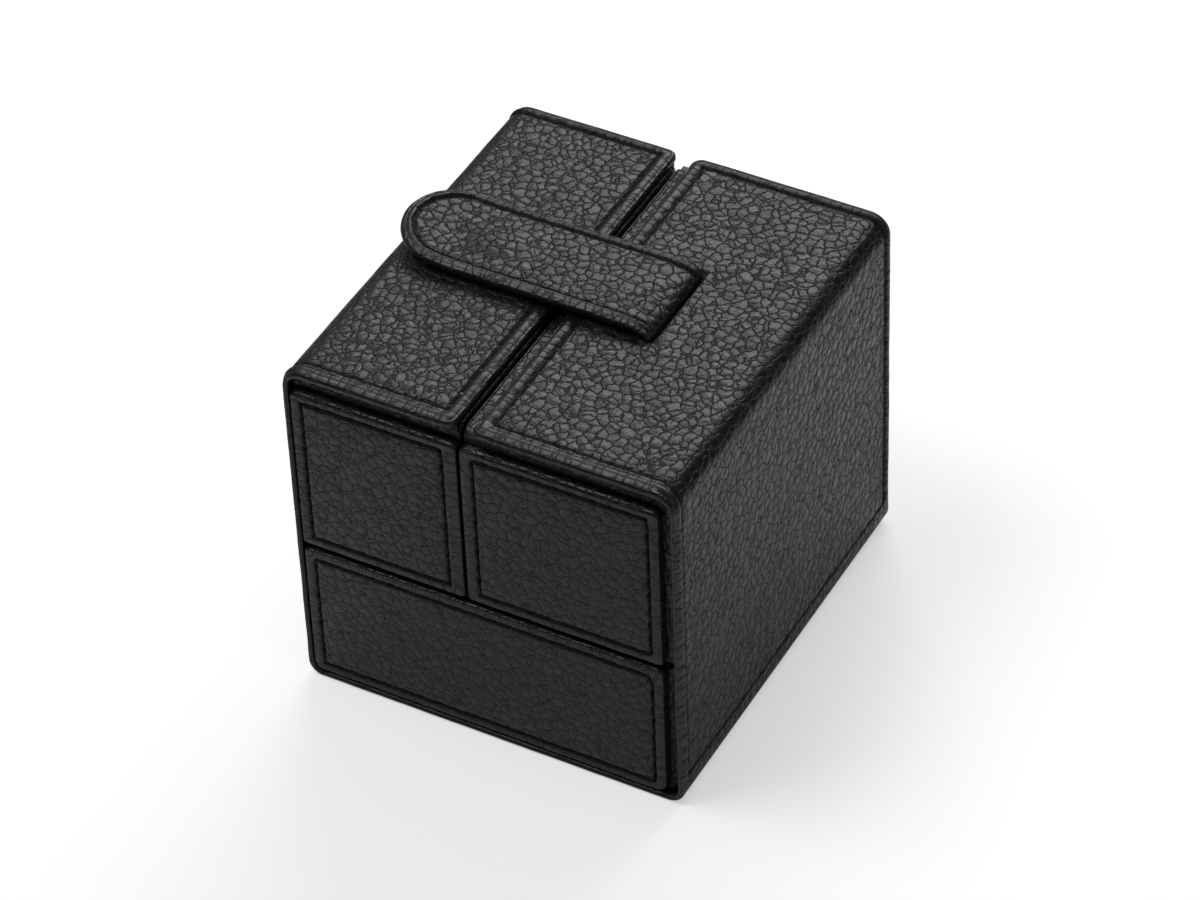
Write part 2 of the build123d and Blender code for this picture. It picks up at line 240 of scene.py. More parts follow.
class Graph:
    """Adds nodes to a node tree and joins them in short calls."""

    def __init__(self, tree):
        self.tree = tree

    def join(self, value, socket):
        if isinstance(value, bpy.types.NodeSocket):
            self.tree.links.new(value, socket)
        elif value is not None:
            socket.default_value = value

    def add(self, kind, inputs=None, **fields):
        node = self.tree.nodes.new(kind)
        for field, value in fields.items():
            setattr(node, field, value)
        for name, value in (inputs or {}).items():
            self.join(value, node.inputs[name])
        return node.outputs

    def math(self, operation, a, b=None):
        return self.add("ShaderNodeMath", {0: a, 1: b}, operation=operation)[0]

    def times(self, a, b):
        return self.math("MULTIPLY", a, b)

    def plus(self, total, *others):
        for other in others:
            total = self.math("ADD", total, other)
        return total

    def vector(self, operation, a, b=None, scale=None):
        return self.add("ShaderNodeVectorMath", {0: a, 1: b, 3: scale}, operation=operation)[0]

    def measure(self, operation, a, b=None):
        return self.add("ShaderNodeVectorMath", {0: a, 1: b}, operation=operation)["Value"]

    def part(self, vector, axis):
        return self.add("ShaderNodeSeparateXYZ", {0: vector})[axis]

    def ramp(self, value, low_in, high_in, low_out=0.0, high_out=1.0, kind="SMOOTHSTEP"):
        inputs = {"Value": value, 1: low_in, 2: high_in, 3: low_out, 4: high_out}
        return self.add("ShaderNodeMapRange", inputs, interpolation_type=kind)[0]

    def mix(self, factor, *colours):
        ends = [c if isinstance(c, bpy.types.NodeSocket) else (*c, 1.0) for c in colours]
        return self.add("ShaderNodeMix", {0: factor, 6: ends[0], 7: ends[1]}, data_type="RGBA")[2]

    def noise(self, place, scale, detail, **inputs):
        return self.add("ShaderNodeTexNoise", {"Vector": place, "Scale": scale, "Detail": detail, **inputs})

    def cells(self, place, scale, randomness, feature):
        inputs = {"Vector": place, "Scale": scale, "Randomness": randomness}
        return self.add("ShaderNodeTexVoronoi", inputs, feature=feature)

    def bump(self, height, distance):
        return self.add("ShaderNodeBump", {"Height": height, "Distance": distance})[0]

    def place(self):
        return self.add("ShaderNodeTexCoord")["Object"]

    def attribute(self, name, output="Fac"):
        return self.add("ShaderNodeAttribute", attribute_name=name)[output]

    def group(self, name, fill, **values):
        """The outputs of the shader group of that name, which fill makes the first time."""
        tree = bpy.data.node_groups.get(name)
        if tree is None:
            tree = bpy.data.node_groups.new(name, "ShaderNodeTree")
            for socket in values:
                kind = "NodeSocketVector" if socket == "Place" else "NodeSocketFloat"
                tree.interface.new_socket(socket, in_out="INPUT", socket_type=kind)
            inner = Graph(tree)
            made = fill(inner, inner.add("NodeGroupInput"))
            for socket in made:
                tree.interface.new_socket(socket, in_out="OUTPUT", socket_type="NodeSocketFloat")
            inner.add("NodeGroupOutput", made)
        return self.add("ShaderNodeGroup", values, node_tree=tree)


def pebbles(graph, given):
    """Pebbled grain: convex cells of uneven shape with a net of creases between them."""
    unit_place = graph.vector("SCALE", given["Place"], scale=graph.math("DIVIDE", 1.0, given["Cell"]))
    bent_place = unit_place
    for scale, detail, reach in ((0.8, 3.0, 0.8), (3.2, 1.0, 0.28)):
        drift = graph.noise(unit_place, scale, detail)["Color"]
        push = graph.vector("SUBTRACT", drift, (0.5, 0.5, 0.5))
        bent_place = graph.vector("ADD", bent_place, graph.vector("SCALE", push, scale=reach))
    edge = graph.cells(bent_place, 1.0, 0.95, "DISTANCE_TO_EDGE")["Distance"]
    cell = graph.cells(bent_place, 1.0, 0.95, "F1")
    fine_edge = graph.cells(bent_place, 2.3, 1.0, "DISTANCE_TO_EDGE")["Distance"]
    tone = graph.add("ShaderNodeSeparateColor", {0: cell["Color"]})[0]
    plateau = graph.ramp(edge, 0.0, 0.13)
    dome = graph.ramp(cell["Distance"], 0.0, 0.85, 1.0, 0.0)
    valley = graph.ramp(edge, 0.06, 0.26, 1.0, 0.1)
    wrinkle = graph.times(graph.ramp(fine_edge, 0.0, 0.1), valley)
    height = graph.plus(
        graph.times(plateau, 0.14), graph.times(graph.ramp(edge, 0.0, 0.055), 0.26),
        graph.times(dome, 0.56), graph.times(wrinkle, 0.06),
        graph.times(graph.times(tone, plateau), 0.1),
    )
    kept = graph.ramp(given["Stretch"], -1.0, 1.0, 1.9, 0.1, kind="LINEAR")
    grit = graph.times(graph.noise(unit_place, 9.0, 3.0, Roughness=0.65)[0], 0.015)
    # The crease mask marks painted shade: the hide's colour is darkened in the creases between the pebbles.
    fine_crease_shade = graph.times(graph.ramp(fine_edge, 0.0, 0.05, 0.35, 0.0), valley)
    crease_shade = graph.math("MAXIMUM", graph.ramp(edge, 0.0, 0.05, 1.0, 0.0), fine_crease_shade)
    shown = graph.ramp(given["Stretch"], 0.0, 1.0, 1.0, 0.4, kind="LINEAR")
    return {
        "Height": graph.plus(graph.times(height, kept), grit),
        "Crease": graph.times(crease_shade, shown),
        "Tone": tone,
    }


def nap(graph, given):
    """Suede nap: short fibres in soft patches."""
    per_fibre = graph.math("DIVIDE", 1.0, given["Fibre"])
    patch = graph.noise(given["Place"], 110.0, 2.0, Distortion=0.4)[0]
    return {
        "Height": graph.noise(given["Place"], per_fibre, 4.0, Roughness=0.7)[0],
        "Patch": graph.ramp(patch, 0.35, 0.65),
    }


def strands(graph, given):
    """Twisted strands: slanting ridges along a thread, from its place along and round it."""
    turns = graph.math("DIVIDE", graph.part(given["Place"], 0), given["Pitch"])
    slant = graph.times(graph.part(given["Place"], 1), 3.0)
    phase = graph.plus(graph.times(turns, 2 * math.pi), slant)
    return {
        "Height": graph.ramp(graph.math("SINE", phase), -1.0, 1.0),
        "Fuzz": graph.noise(given["Place"], 9000.0, 2.0)[0],
    }


def fibres(graph, given):
    """Pressed fibres: the flecks and fine tooth of board."""
    stretched = graph.vector("MULTIPLY", given["Place"], (1.0, 0.25, 1.0))
    flecks = graph.noise(stretched, graph.math("DIVIDE", 1.0, given["Fleck"]), 5.0)[0]
    return {
        "Height": graph.noise(given["Place"], 4000.0, 2.0)[0],
        "Flecks": graph.ramp(flecks, 0.4, 0.7),
    }


# Materials

def cleared(block):
    """A graph over the emptied nodes of a material or a world."""
    block.use_nodes = True
    block.node_tree.nodes.clear()
    return Graph(block.node_tree)


def make_material(name, fill, *values):
    """The material of that name, which fill makes the first time."""
    made = bpy.data.materials.get(name)
    if made is None:
        made = bpy.data.materials.new(name)
        graph = cleared(made)
        surface = graph.tree.nodes.new("ShaderNodeBsdfPrincipled")
        graph.add("ShaderNodeOutputMaterial", {"Surface": surface.outputs[0]})
        fill(graph, surface.inputs, *values)
    return made


def texture(graph, surface, tone, colours, rough, height, depth):
    """Joins a tone to the colour and the roughness, and a height to the normal.

    Rough is two tones, then the roughness at each of them.
    """
    graph.join(graph.mix(tone, *colours), surface["Base Color"])
    graph.join(graph.ramp(tone, *rough), surface["Roughness"])
    graph.join(graph.bump(height, depth), surface["Normal"])


def leather(graph, surface, on_mesh_places):
    """Black pebbled hide, painted darker as painted shade in its creases, stitch grooves and cuts. Its grain
    follows the places that a piece carries, or the object's own.
    """
    look = settings("leather")
    if on_mesh_places:
        place = graph.attribute("grain", "Vector")
        stretch, shade = graph.attribute("stretch"), graph.attribute("shade")
    else:
        place, stretch, shade = graph.place(), 0.3, 0.0
    grain = graph.group("Pebbled Grain", pebbles, Place=place, Cell=look.cell, Stretch=stretch)
    toned = graph.mix(grain["Tone"], [c * 0.8 for c in look.colour], [c * 1.25 for c in look.colour])
    # Painted shade: the creases, the stitch grooves and the slit's cut are painted towards the crease colour,
    # and made rougher.
    deep = graph.math("MAXIMUM", grain["Crease"], shade)
    worn = graph.ramp(grain["Tone"], 0.0, 1.0, look.roughness - 0.03, look.roughness + 0.05)
    graph.join(graph.mix(deep, toned, look.crease_shade_colour), surface["Base Color"])
    graph.join(graph.ramp(deep, 0.0, 1.0, worn, 0.8, kind="LINEAR"), surface["Roughness"])
    graph.join(graph.bump(grain["Height"], look.grain_depth), surface["Normal"])


def hide():
    return make_material("Black Pebbled Leather", leather, True)


def suede(graph, surface, colour, fibre):
    made = graph.group("Suede Nap", nap, Place=graph.place(), Fibre=fibre)
    colours = [c * 0.88 for c in colour], [c * 1.14 for c in colour]
    texture(graph, surface, made["Patch"], colours, (0.0, 1.0, 0.95, 0.85), made["Height"], 0.15 * MM)
    surface["Specular IOR Level"].default_value = 0.2
    surface["Sheen Weight"].default_value = 0.35
    surface["Sheen Roughness"].default_value = 0.5


def thread(graph, surface):
    twist = graph.group("Twisted Strands", strands, Place=graph.attribute("strand", "Vector"), Pitch=0.7 * MM)
    tone = graph.mix(twist["Fuzz"], (0.003, 0.003, 0.003), (0.009, 0.009, 0.0095))
    graph.join(tone, surface["Base Color"])
    graph.join(graph.ramp(twist["Height"], 0.0, 1.0, 0.75, 0.5), surface["Roughness"])
    graph.join(graph.bump(twist["Height"], 0.06 * MM), surface["Normal"])
    surface["Specular IOR Level"].default_value = 0.2


def board(graph, surface):
    made = graph.group("Pressed Fibres", fibres, Place=graph.place(), Fleck=1.2 * MM)
    colours = (0.2, 0.19, 0.18), (0.3, 0.29, 0.27)
    texture(graph, surface, made["Flecks"], colours, (0.0, 1.0, 0.92, 0.82), made["Height"], 0.05 * MM)


def nickel(graph, surface):
    place = graph.vector("MULTIPLY", graph.place(), (1.0, 12.0, 1.0))
    brushed = graph.noise(place, 900.0, 3.0)[0]
    colours = (0.5, 0.5, 0.52), (0.66, 0.66, 0.67)
    texture(graph, surface, brushed, colours, (0.3, 0.7, 0.25, 0.4), brushed, 0.01 * MM)
    surface["Metallic"].default_value = 1.0


def plastic(graph, surface):
    tooth = graph.noise(graph.place(), 2500.0, 2.0)[0]
    colours = (0.1, 0.1, 0.1), (0.14, 0.14, 0.14)
    texture(graph, surface, tooth, colours, (0.3, 0.7, 0.5, 0.62), tooth, 0.02 * MM)


# Pieces

def add_object(name, data):
    piece = bpy.data.objects.new(name, data)
    bpy.context.scene.collection.objects.link(piece)
    return piece


def dress(piece, finish, body=None, nodes=()):
    """Gives a piece its material, the nodes that it stands for and the body that it rides on."""
    piece.data.materials.append(finish)
    if nodes:
        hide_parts(*nodes)
    if body:
        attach(piece, body)


def ring_faces(rings, around, closed, first=0):
    """Quads from each ring of points to the next, and from the last to the first where closed."""
    faces = []
    for k in range(rings if closed else rings - 1):
        here, ahead = first + k * around, first + (k + 1) % rings * around
        for m in range(around):
            n = (m + 1) % around
            faces.append((here + m, ahead + m, ahead + n, here + n))
    return faces


# Sheets of leather with turned edges

def stations(start, stop, coarse, fine, marks, reach):
    """Places from start to stop: coarse steps that get fine within reach of each mark."""
    places = [start]
    while places[-1] < stop:
        clear = min([abs(places[-1] - mark) for mark in marks]) - reach if marks else coarse
        step = min(coarse, max(fine, clear))
        left = stop - places[-1]
        places.append(stop if left < 1.5 * step else places[-1] + step)
    return np.array(places)


def seam_stations(start, stop, marks):
    """Places that get fine near the seams and edges at the marks, to hold the stitches' grooves."""
    return stations(start, stop, coarse=1.0 * MM, fine=0.17 * MM, marks=marks, reach=0.75 * MM)


def even_stations(start, stop, step):
    return stations(start, stop, step, step, [], 0)


class Outline:
    """A four-sided sheet laid out flat in s and t, with the radius of each corner.

    Corner order: low s low t, low s high t, high s low t, high s high t. A side that isn't turned
    over, such as one that runs on into another piece, is left out of turned. The edge at high t
    rounds over top_reach times as far as the others.
    """

    def __init__(self, s, t, corners=(0, 0, 0, 0), turned=("s_low", "s_high", "t_low", "t_high"),
                 rim=3.0 * MM, top_reach=1.0):
        self.s_low, self.s_high = s
        self.t_low, self.t_high = t
        self.corners = corners
        self.turned = turned
        self.rim = rim
        self.top_reach = top_reach

    def shape(self, s, t):
        """Rounds the corners of a grid. Gives the new s and t, the depth inside the edge and the way out."""
        close = 1e-9
        gaps = {
            "s_low": s - self.s_low,
            "s_high": self.s_high - s,
            "t_low": t - self.t_low,
            "t_high": self.t_high - t,
        }
        depth = np.full(s.shape, 1.0)
        new = {"s": s.copy(), "t": t.copy()}
        out = {"s": np.zeros(s.shape), "t": np.zeros(s.shape)}
        for side in gaps:
            if side in self.turned:
                depth = np.minimum(depth, gaps[side])
                out[side[0]][gaps[side] < close] = -1 if side.endswith("low") else 1
        corner_sides = (("s_low", "t_low"), ("s_low", "t_high"), ("s_high", "t_low"), ("s_high", "t_high"))
        for radius, corner in zip(self.corners, corner_sides):
            if radius <= 0:
                continue
            inside = (gaps[corner[0]] < radius) & (gaps[corner[1]] < radius)
            a, b = [(radius - gaps[side][inside]) / radius for side in corner]
            rounded = a * np.sqrt(1 - b * b / 2), b * np.sqrt(1 - a * a / 2)
            length = np.maximum(np.hypot(*rounded), close)
            depth[inside] = radius * (1 - np.minimum(length, 1))
            for side, share in zip(corner, rounded):
                way = -1 if side.endswith("low") else 1
                new[side[0]][inside] = getattr(self, side) - way * radius * (1 - share)
                out[side[0]][inside] = way * share / length
        out["t"][out["t"] > 0] *= self.top_reach
        return new["s"], new["t"], depth, out["s"], out["t"]

    def press(self, value, axis):
        """Grain coordinates along one axis, slowed across the rims so that their wrinkles run across."""
        share = settings("leather").rim_press
        for side, way in ((axis + "_low", 1), (axis + "_high", -1)):
            if side in self.turned:
                past = np.maximum(way * (getattr(self, side) - value) + self.rim, 0)
                value = value + way * past * (1 - share)
        return value

    def grain(self, s, t):
        return self.press(s, "s"), self.press(t, "t")


def turned_edge(reach, steps=7):
    """The section of an edge turned right over, as pairs of reach and share of the thickness."""
    angles = [math.pi * k / steps for k in range(1, steps + 1)]
    return [(reach * math.sin(a), (1 - math.cos(a)) / 2) for a in angles]


def padded_edge(reach, share=0.8, steps=7):
    """The section of an edge that rounds over, and goes straight down for the last of its thickness."""
    angles = [math.pi / 2 * k / steps for k in range(1, steps + 1)]
    return [(reach * math.sin(a), share * (1 - math.cos(a))) for a in angles] + [(reach, 1.0)]


def slow_waves(points, length, seed):
    """Smooth noise at each point, from -1 to 1, with waves of about that length."""
    shift = Vector((seed, seed * 1.7, -seed))
    return np.array([noise.noise(Vector(p) / length + shift) for p in points])


def piece_waves(place, s, t, length, seed):
    """Slow waves over a grid of places on a sheet."""
    return slow_waves(place(s, t)[0].reshape(-1, 3), length, seed).reshape(s.shape)


def eased(share):
    """Turns an even share from 0 to 1 into one that starts and stops softly."""
    return share * share * (3 - 2 * share)


def mesh_object(name, points, faces, flat_faces=()):
    mesh = bpy.data.meshes.new(name)
    mesh.from_pydata([tuple(p) for p in points], [], faces)
    flat = set(flat_faces)
    mesh.polygons.foreach_set("use_smooth", [k not in flat for k in range(len(faces))])
    work = bmesh.new()
    work.from_mesh(mesh)
    bmesh.ops.recalc_face_normals(work, faces=work.faces)
    work.to_mesh(mesh)
    work.free()
    return add_object(name, mesh)


def set_attribute(piece, name, kind, values):
    attribute = piece.data.attributes.new(name, kind, "POINT")
    field = "vector" if kind == "FLOAT_VECTOR" else "value"
    attribute.data.foreach_set(field, np.asarray(values, np.float32).ravel())


def rim_places(rows, columns):
    """The row and column of each place round a grid's rim, in order."""
    rim = [(i, 0) for i in range(rows)]
    rim += [(rows - 1, j) for j in range(1, columns)]
    rim += [(i, columns - 1) for i in range(rows - 2, -1, -1)]
    return rim + [(0, j) for j in range(columns - 2, 0, -1)]


def back_strips(where, rows, columns):
    """Bands across a sheet's back, from one t edge to the other. Where gives the rim's points."""
    strips = []
    for i in range(rows - 1):
        near = range(columns) if i == 0 else (0, columns - 1)
        far = range(columns - 1, -1, -1) if i == rows - 2 else (columns - 1, 0)
        strips.append(tuple([where[(i, j)] for j in near] + [where[(i + 1, j)] for j in far]))
    return strips


def leather_sheet(name, s_places, t_places, outline, place, thickness, section, relief, runs=(),
                  back="flat", stretch=None, shade=None, warp=None, seed=0.0):
    """A sheet of leather over a board, with its edges turned as the section says.

    Place gives the point, the normal and the two directions of the outer face at s and t. Relief is
    the height of the hide there, before the stitch runs pull it in. Back is flat for one face, strips
    for bands from one t edge to the other, or grid for a second face that the runs pull in too.
    Stretch is where the grain is pulled smooth, shade is painted shade in cuts, added to the painted shade in
    the stitch grooves, and warp moves the grain.
    """
    s_grid, t_grid = np.meshgrid(s_places, t_places, indexing="ij")
    rows, columns = s_grid.shape
    s, t, depth, out_s, out_t = outline.shape(s_grid, t_grid)
    point, normal, along_s, along_t = place(s, t)
    thick = thickness(s) * np.ones(s.shape)
    pull = groove(s, t, runs)
    lift = relief(s, t, depth) - pull
    outer = point + normal * lift[..., None]
    grain_s, grain_t = outline.grain(s, t)
    if warp:
        grain_s, grain_t = warp(grain_s, grain_t)
    grain = np.stack([grain_s, grain_t, np.full(s.shape, seed)], -1)
    smooth = stretch(s, t, depth) if stretch else np.zeros(s.shape)
    # Painted shade in the stitch grooves: the leather is darkened where the stitches pull it in.
    painted_shade = np.clip(1.9 * pull / settings("seam").groove_depth - 0.25, 0, 1)
    if shade:
        painted_shade = np.maximum(painted_shade, shade(s, t))
    points, grains = [outer.reshape(-1, 3)], [grain.reshape(-1, 3)]
    smooths, painted_shades = [smooth.ravel()], [painted_shade.ravel()]
    squares = [(i, j) for i in range(rows - 1) for j in range(columns - 1)]
    index = np.arange(rows * columns).reshape(rows, columns)
    faces = [(index[i, j], index[i + 1, j], index[i + 1, j + 1], index[i, j + 1]) for i, j in squares]
    rim = rim_places(rows, columns)
    around = len(rim)
    edge = tuple(np.array(rim).T)
    out = along_s[edge] * out_s[edge][:, None] + along_t[edge] * out_t[edge][:, None]
    shift = np.stack([out_s[edge], out_t[edge], np.zeros(around)], -1)
    wobble = 1 + 0.1 * slow_waves(outer[edge], 5 * MM, seed + 3)
    farthest = section[len(section) // 2 - 1][0]
    count = rows * columns
    last = index[edge]
    for reach, share in section:
        fade = lift[edge] * max(0.0, 1 - 2 * share)
        down = thick[edge] * share - fade
        points.append(point[edge] + out * (reach * wobble)[:, None] - normal[edge] * down[:, None])
        travel = reach if share < 0.5 else 2 * farthest - reach
        grains.append(grain[edge] + shift * (travel + share * thick[edge][:, None]) * 0.3)
        smooths.append(np.full(around, min(0.85, 0.2 + share)))
        painted_shades.append(np.zeros(around))
        ids = np.arange(count, count + around)
        count += around
        faces += list(zip(last, ids, np.roll(ids, -1), np.roll(last, -1)))
        last = ids
    flat_faces = []
    where = {pair: last[k] for k, pair in enumerate(rim)}
    if back == "flat":
        flat_faces.append(len(faces))
        faces.append(tuple(last))
    elif back == "strips":
        faces += back_strips(where, rows, columns)
    else:
        under = point - normal * (thick - 0.8 * pull)[..., None]
        inner = [(i, j) for i in range(1, rows - 1) for j in range(1, columns - 1)]
        inside = tuple(np.array(inner).T)
        points.append(under[inside])
        grains.append(grain[inside] + (0.3, 0.1, 0.0))
        smooths.append(smooth[inside])
        painted_shades.append(painted_shade[inside])
        where.update({pair: count + k for k, pair in enumerate(inner)})
        for i, j in squares:
            square = ((i, j), (i, j + 1), (i + 1, j + 1), (i + 1, j))
            faces.append(tuple(where[pair] for pair in square))
    piece = mesh_object(name, np.concatenate(points), faces, flat_faces)
    set_attribute(piece, "grain", "FLOAT_VECTOR", np.concatenate(grains))
    set_attribute(piece, "stretch", "FLOAT", np.concatenate(smooths))
    set_attribute(piece, "shade", "FLOAT", np.concatenate(painted_shades))
    return piece


def flat_place(origin, s_way, t_way):
    """A plane through origin, with s and t along two directions."""
    s_way, t_way = np.array(s_way, float), np.array(t_way, float)
    face = np.cross(s_way, t_way)

    def place(s, t):
        point = np.array(origin) + s[..., None] * s_way + t[..., None] * t_way
        shape = point.shape
        ways = [np.broadcast_to(way, shape) for way in (face, s_way, t_way)]
        return (point, *ways)

    return place


# Seams

def rounded_path(corners, radii):
    """Straight runs between corners in s and t, with an arc of the given radius at each corner."""
    corners = [np.array(corner, float) for corner in corners]
    path = [corners[0]]
    for before, corner, after, radius in zip(corners, corners[1:], corners[2:], radii):
        if radius <= 0:
            path.append(corner)
            continue
        arrive, leave = corner - before, after - corner
        arrive, leave = arrive / np.linalg.norm(arrive), leave / np.linalg.norm(leave)
        turn = math.acos(np.clip(arrive @ leave, -1, 1))
        cut = radius * math.tan(turn / 2)
        start, stop = corner - arrive * cut, corner + leave * cut
        for share in np.linspace(0, 1, 7):
            path.append((1 - share) ** 2 * start + 2 * share * (1 - share) * corner + share ** 2 * stop)
    path.append(corners[-1])
    return np.array(path)


def stitch_runs(path):
    """Each stitch of a seam as seven points in s and t, leaning a little across the path."""
    size = settings("seam")
    steps = np.linalg.norm(np.diff(path, axis=0), axis=1)
    reached = np.concatenate([[0], np.cumsum(steps)])
    count = max(1, round(reached[-1] / size.pitch))
    runs = []
    for k in range(count):
        share = np.linspace(0, 1, 7)
        along = (k + share) * reached[-1] / count
        points = np.stack([np.interp(along, reached, path[:, axis]) for axis in (0, 1)], -1)
        ahead = points[-1] - points[0]
        side = np.array([-ahead[1], ahead[0]]) / np.linalg.norm(ahead)
        runs.append(points + side * (size.slant * (2 * share - 1))[:, None])
    return runs


def groove(s, t, runs):
    """How far the stitches pull the leather in: a narrow line with a pit at each needle hole."""
    size = settings("seam")
    reach = 3 * size.groove_width
    pull = np.zeros(s.shape)
    for run in runs:
        for number, (start, stop) in enumerate(zip(run, run[1:])):
            low_s, high_s = min(start[0], stop[0]) - reach, max(start[0], stop[0]) + reach
            low_t, high_t = min(start[1], stop[1]) - reach, max(start[1], stop[1]) + reach
            near = (s > low_s) & (s < high_s) & (t > low_t) & (t < high_t)
            if not near.any():
                continue
            step = stop - start
            ds, dt = s[near] - start[0], t[near] - start[1]
            along = np.clip((ds * step[0] + dt * step[1]) / (step @ step), 0, 1)
            away = np.hypot(ds - along * step[0], dt - along * step[1])
            share = (number + along) / (len(run) - 1)
            depth = size.groove_depth * (0.8 + 0.35 * np.abs(2 * share - 1) ** 3)
            pull[near] = np.maximum(pull[near], depth * np.exp(-(away / size.groove_width) ** 2))
    return pull


def stitches(name, runs, place, body, below=False):
    """The thread of a seam: one stitch to a run, with both ends drawn down into their holes."""
    size = settings("seam")
    around = 8
    radius = size.thread / 2
    points, strands, faces = [], [], []
    travelled = 0.0
    for run in runs:
        middle = run.mean(axis=0)
        flat = middle + (run - middle) * size.stitch_share
        steps = np.gradient(flat, axis=0)
        point, normal, along_s, along_t = place(flat[:, 0], flat[:, 1])
        ahead = along_s * steps[:, :1] + along_t * steps[:, 1:]
        ahead /= np.linalg.norm(ahead, axis=1)[:, None]
        across = np.cross(normal, ahead)
        out = -normal if below else normal
        base = len(points)
        length = np.linalg.norm(run[-1] - run[0])
        for k, share in enumerate(np.linspace(0, 1, len(run))):
            dip = abs(2 * share - 1)
            deep = size.groove_depth * 0.7 + 1.3 * radius * dip ** 3
            thin = radius * (1 - 0.25 * dip ** 4)
            centre = point[k] - out[k] * deep
            for m in range(around):
                angle = 2 * math.pi * m / around
                points.append(centre + thin * (math.cos(angle) * across[k] + math.sin(angle) * out[k]))
                strands.append((travelled + share * length, angle, 0.0))
        faces += ring_faces(len(run), around, False, base)
        faces.append(tuple(range(base, base + around)))
        faces.append(tuple(range(len(points) - around, len(points))))
        travelled += length
    piece = mesh_object(name, points, faces)
    set_attribute(piece, "strand", "FLOAT_VECTOR", strands)
    dress(piece, make_material("Black Thread", thread), body)


def swept_place(x, t, z, way_x, way_z, side):
    """The place of a sheet swept along y, from the place and the way of its section in x and z."""
    flat = 0 * x
    point = np.stack([x, t, z], -1)
    normal = np.stack([-side * way_z, flat, side * way_x], -1)
    along_s = np.stack([way_x, flat, way_z], -1)
    along_t = np.broadcast_to(np.array([0.0, 1.0, 0.0]), point.shape)
    return point, normal, along_s, along_t


# The wings: flap, shoulder, side wall and fold in one hide

class WingProfile:
    """The outside of one wing. S runs from the flap's edge over the shoulder and down to the fold."""

    def __init__(self, name):
        self.side = sides[name]
        self.start = flap_starts[name]
        self.shoulder = half_width - shoulder_radius - self.start
        self.wall = self.shoulder + shoulder_radius * math.pi / 2
        self.fold = self.wall + case_height - shoulder_radius - fold_radius
        self.end = self.fold + fold_radius * math.pi / 2

    def at_height(self, z):
        return self.wall + case_height - shoulder_radius - z

    def place(self, s, t):
        s = np.asarray(s, float)
        top_turn = np.clip((s - self.shoulder) / shoulder_radius, 0, math.pi / 2)
        low_turn = np.clip((s - self.fold) / fold_radius, 0, math.pi / 2)
        turn = top_turn + low_turn
        x = self.start + np.minimum(s, self.shoulder) + shoulder_radius * np.sin(top_turn)
        x -= fold_radius * (1 - np.cos(low_turn))
        z = case_height - shoulder_radius * (1 - np.cos(top_turn))
        z -= np.clip(s - self.wall, 0, self.fold - self.wall) + fold_radius * np.sin(low_turn)
        return swept_place(self.side * x, t, z, self.side * np.cos(turn), -np.sin(turn), self.side)

    def thickness(self, s):
        share = np.clip((s - self.shoulder) / (self.wall - self.shoulder), 0, 1)
        return flap_thickness + (side_thickness - flap_thickness) * eased(share)


def wing_seam(profile):
    """The seam round a wing: across the flap's edge, down the side and along its foot."""
    size = settings("wrap")
    foot = profile.at_height(size.foot_height)
    front_top = -half_depth + size.front_inset_top
    front_side = -half_depth + size.front_inset_side
    back = half_depth - size.back_inset
    start = size.flap_inset
    corners = [
        (start, back), (start, front_top), (profile.shoulder, front_top), (profile.wall, front_side),
        (foot, front_side), (foot, back), (start, back),
    ]
    return stitch_runs(rounded_path(corners, [0] * 5))


def edge_swell(depth, inset):
    """A bead between an edge and its seam, and a low swell inside the seam."""
    size = settings("wrap")
    share = np.clip(depth / inset, 0, 1)
    inner = 1 - np.exp(-np.maximum(depth - inset, 0) / (2.5 * MM))
    return size.bead * np.sin(math.pi * share) ** 0.8 + size.swell * inner


class Slit:
    """The slit in the right flap: its cut, its lip, the painted shade in its cut, and the folds that fan out
    from its front end.
    """

    half_cut = 0.75 * MM
    closed_depth = 0.6 * MM
    wall_width = 0.3 * MM
    lip_height = 0.12 * MM
    lip_width = 0.6 * MM
    fan_reach = 5 * MM
    dip_depth = 0.35 * MM
    dip_reach = 3 * MM

    def __init__(self, profile):
        size = settings("tab")
        self.centre = size.slit_place - profile.start - 1.0 * MM
        self.front, self.back = tab_front + 1.0 * MM, tab_back + size.slit_past

    def away(self, s, t):
        """Distance from the open cut."""
        half_length = (self.back - self.front) / 2
        past = np.maximum(np.abs(t - (self.front + self.back) / 2) - half_length, 0)
        return np.hypot(np.maximum(np.abs(s - self.centre) - self.half_cut, 0), past)

    def from_end(self, s, t):
        return s - self.centre - 0.6 * MM, t - self.front

    def relief(self, s, t):
        size = settings("tab")
        away = self.away(s, t)
        room = np.clip((tab_back - 0.3 * MM - t) / (1.2 * MM), 0, 1)
        deep = self.closed_depth + (size.slit_depth - self.closed_depth) * room
        cut = -deep * np.exp(-(away / self.wall_width) ** 2)
        lip = self.lip_height * np.exp(-((away - 1.0 * MM) / self.lip_width) ** 2)
        end_s, end_t = self.from_end(s, t)
        distance = np.hypot(end_s, end_t)
        angle = np.arctan2(end_t, end_s)
        fan = np.cos(11 * angle + 1.5 * np.sin(3 * angle))
        outside = 1 / (1 + np.exp((end_t - 3 * MM) / (1.5 * MM)))
        fade = np.exp(-distance / self.fan_reach) * np.clip(distance / (1.5 * MM), 0, 1)
        dip = -self.dip_depth * np.exp(-(distance / self.dip_reach) ** 2)
        return cut + lip + size.pucker * fan * fade * outside + dip

    # Painted shade inside the slit's cut.
    def shade(self, s, t):
        return np.exp(-(self.away(s, t) / (0.35 * MM)) ** 2)

    def warp(self, s, t):
        """Draws the grain out along the folds near the slit's front end."""
        end_s, end_t = self.from_end(s, t)
        distance = np.maximum(np.hypot(end_s, end_t), 1e-6)
        share = 1 - 0.45 * np.exp(-distance / (4 * MM))
        return s - end_s * (1 - share), t - end_t * (1 - share)


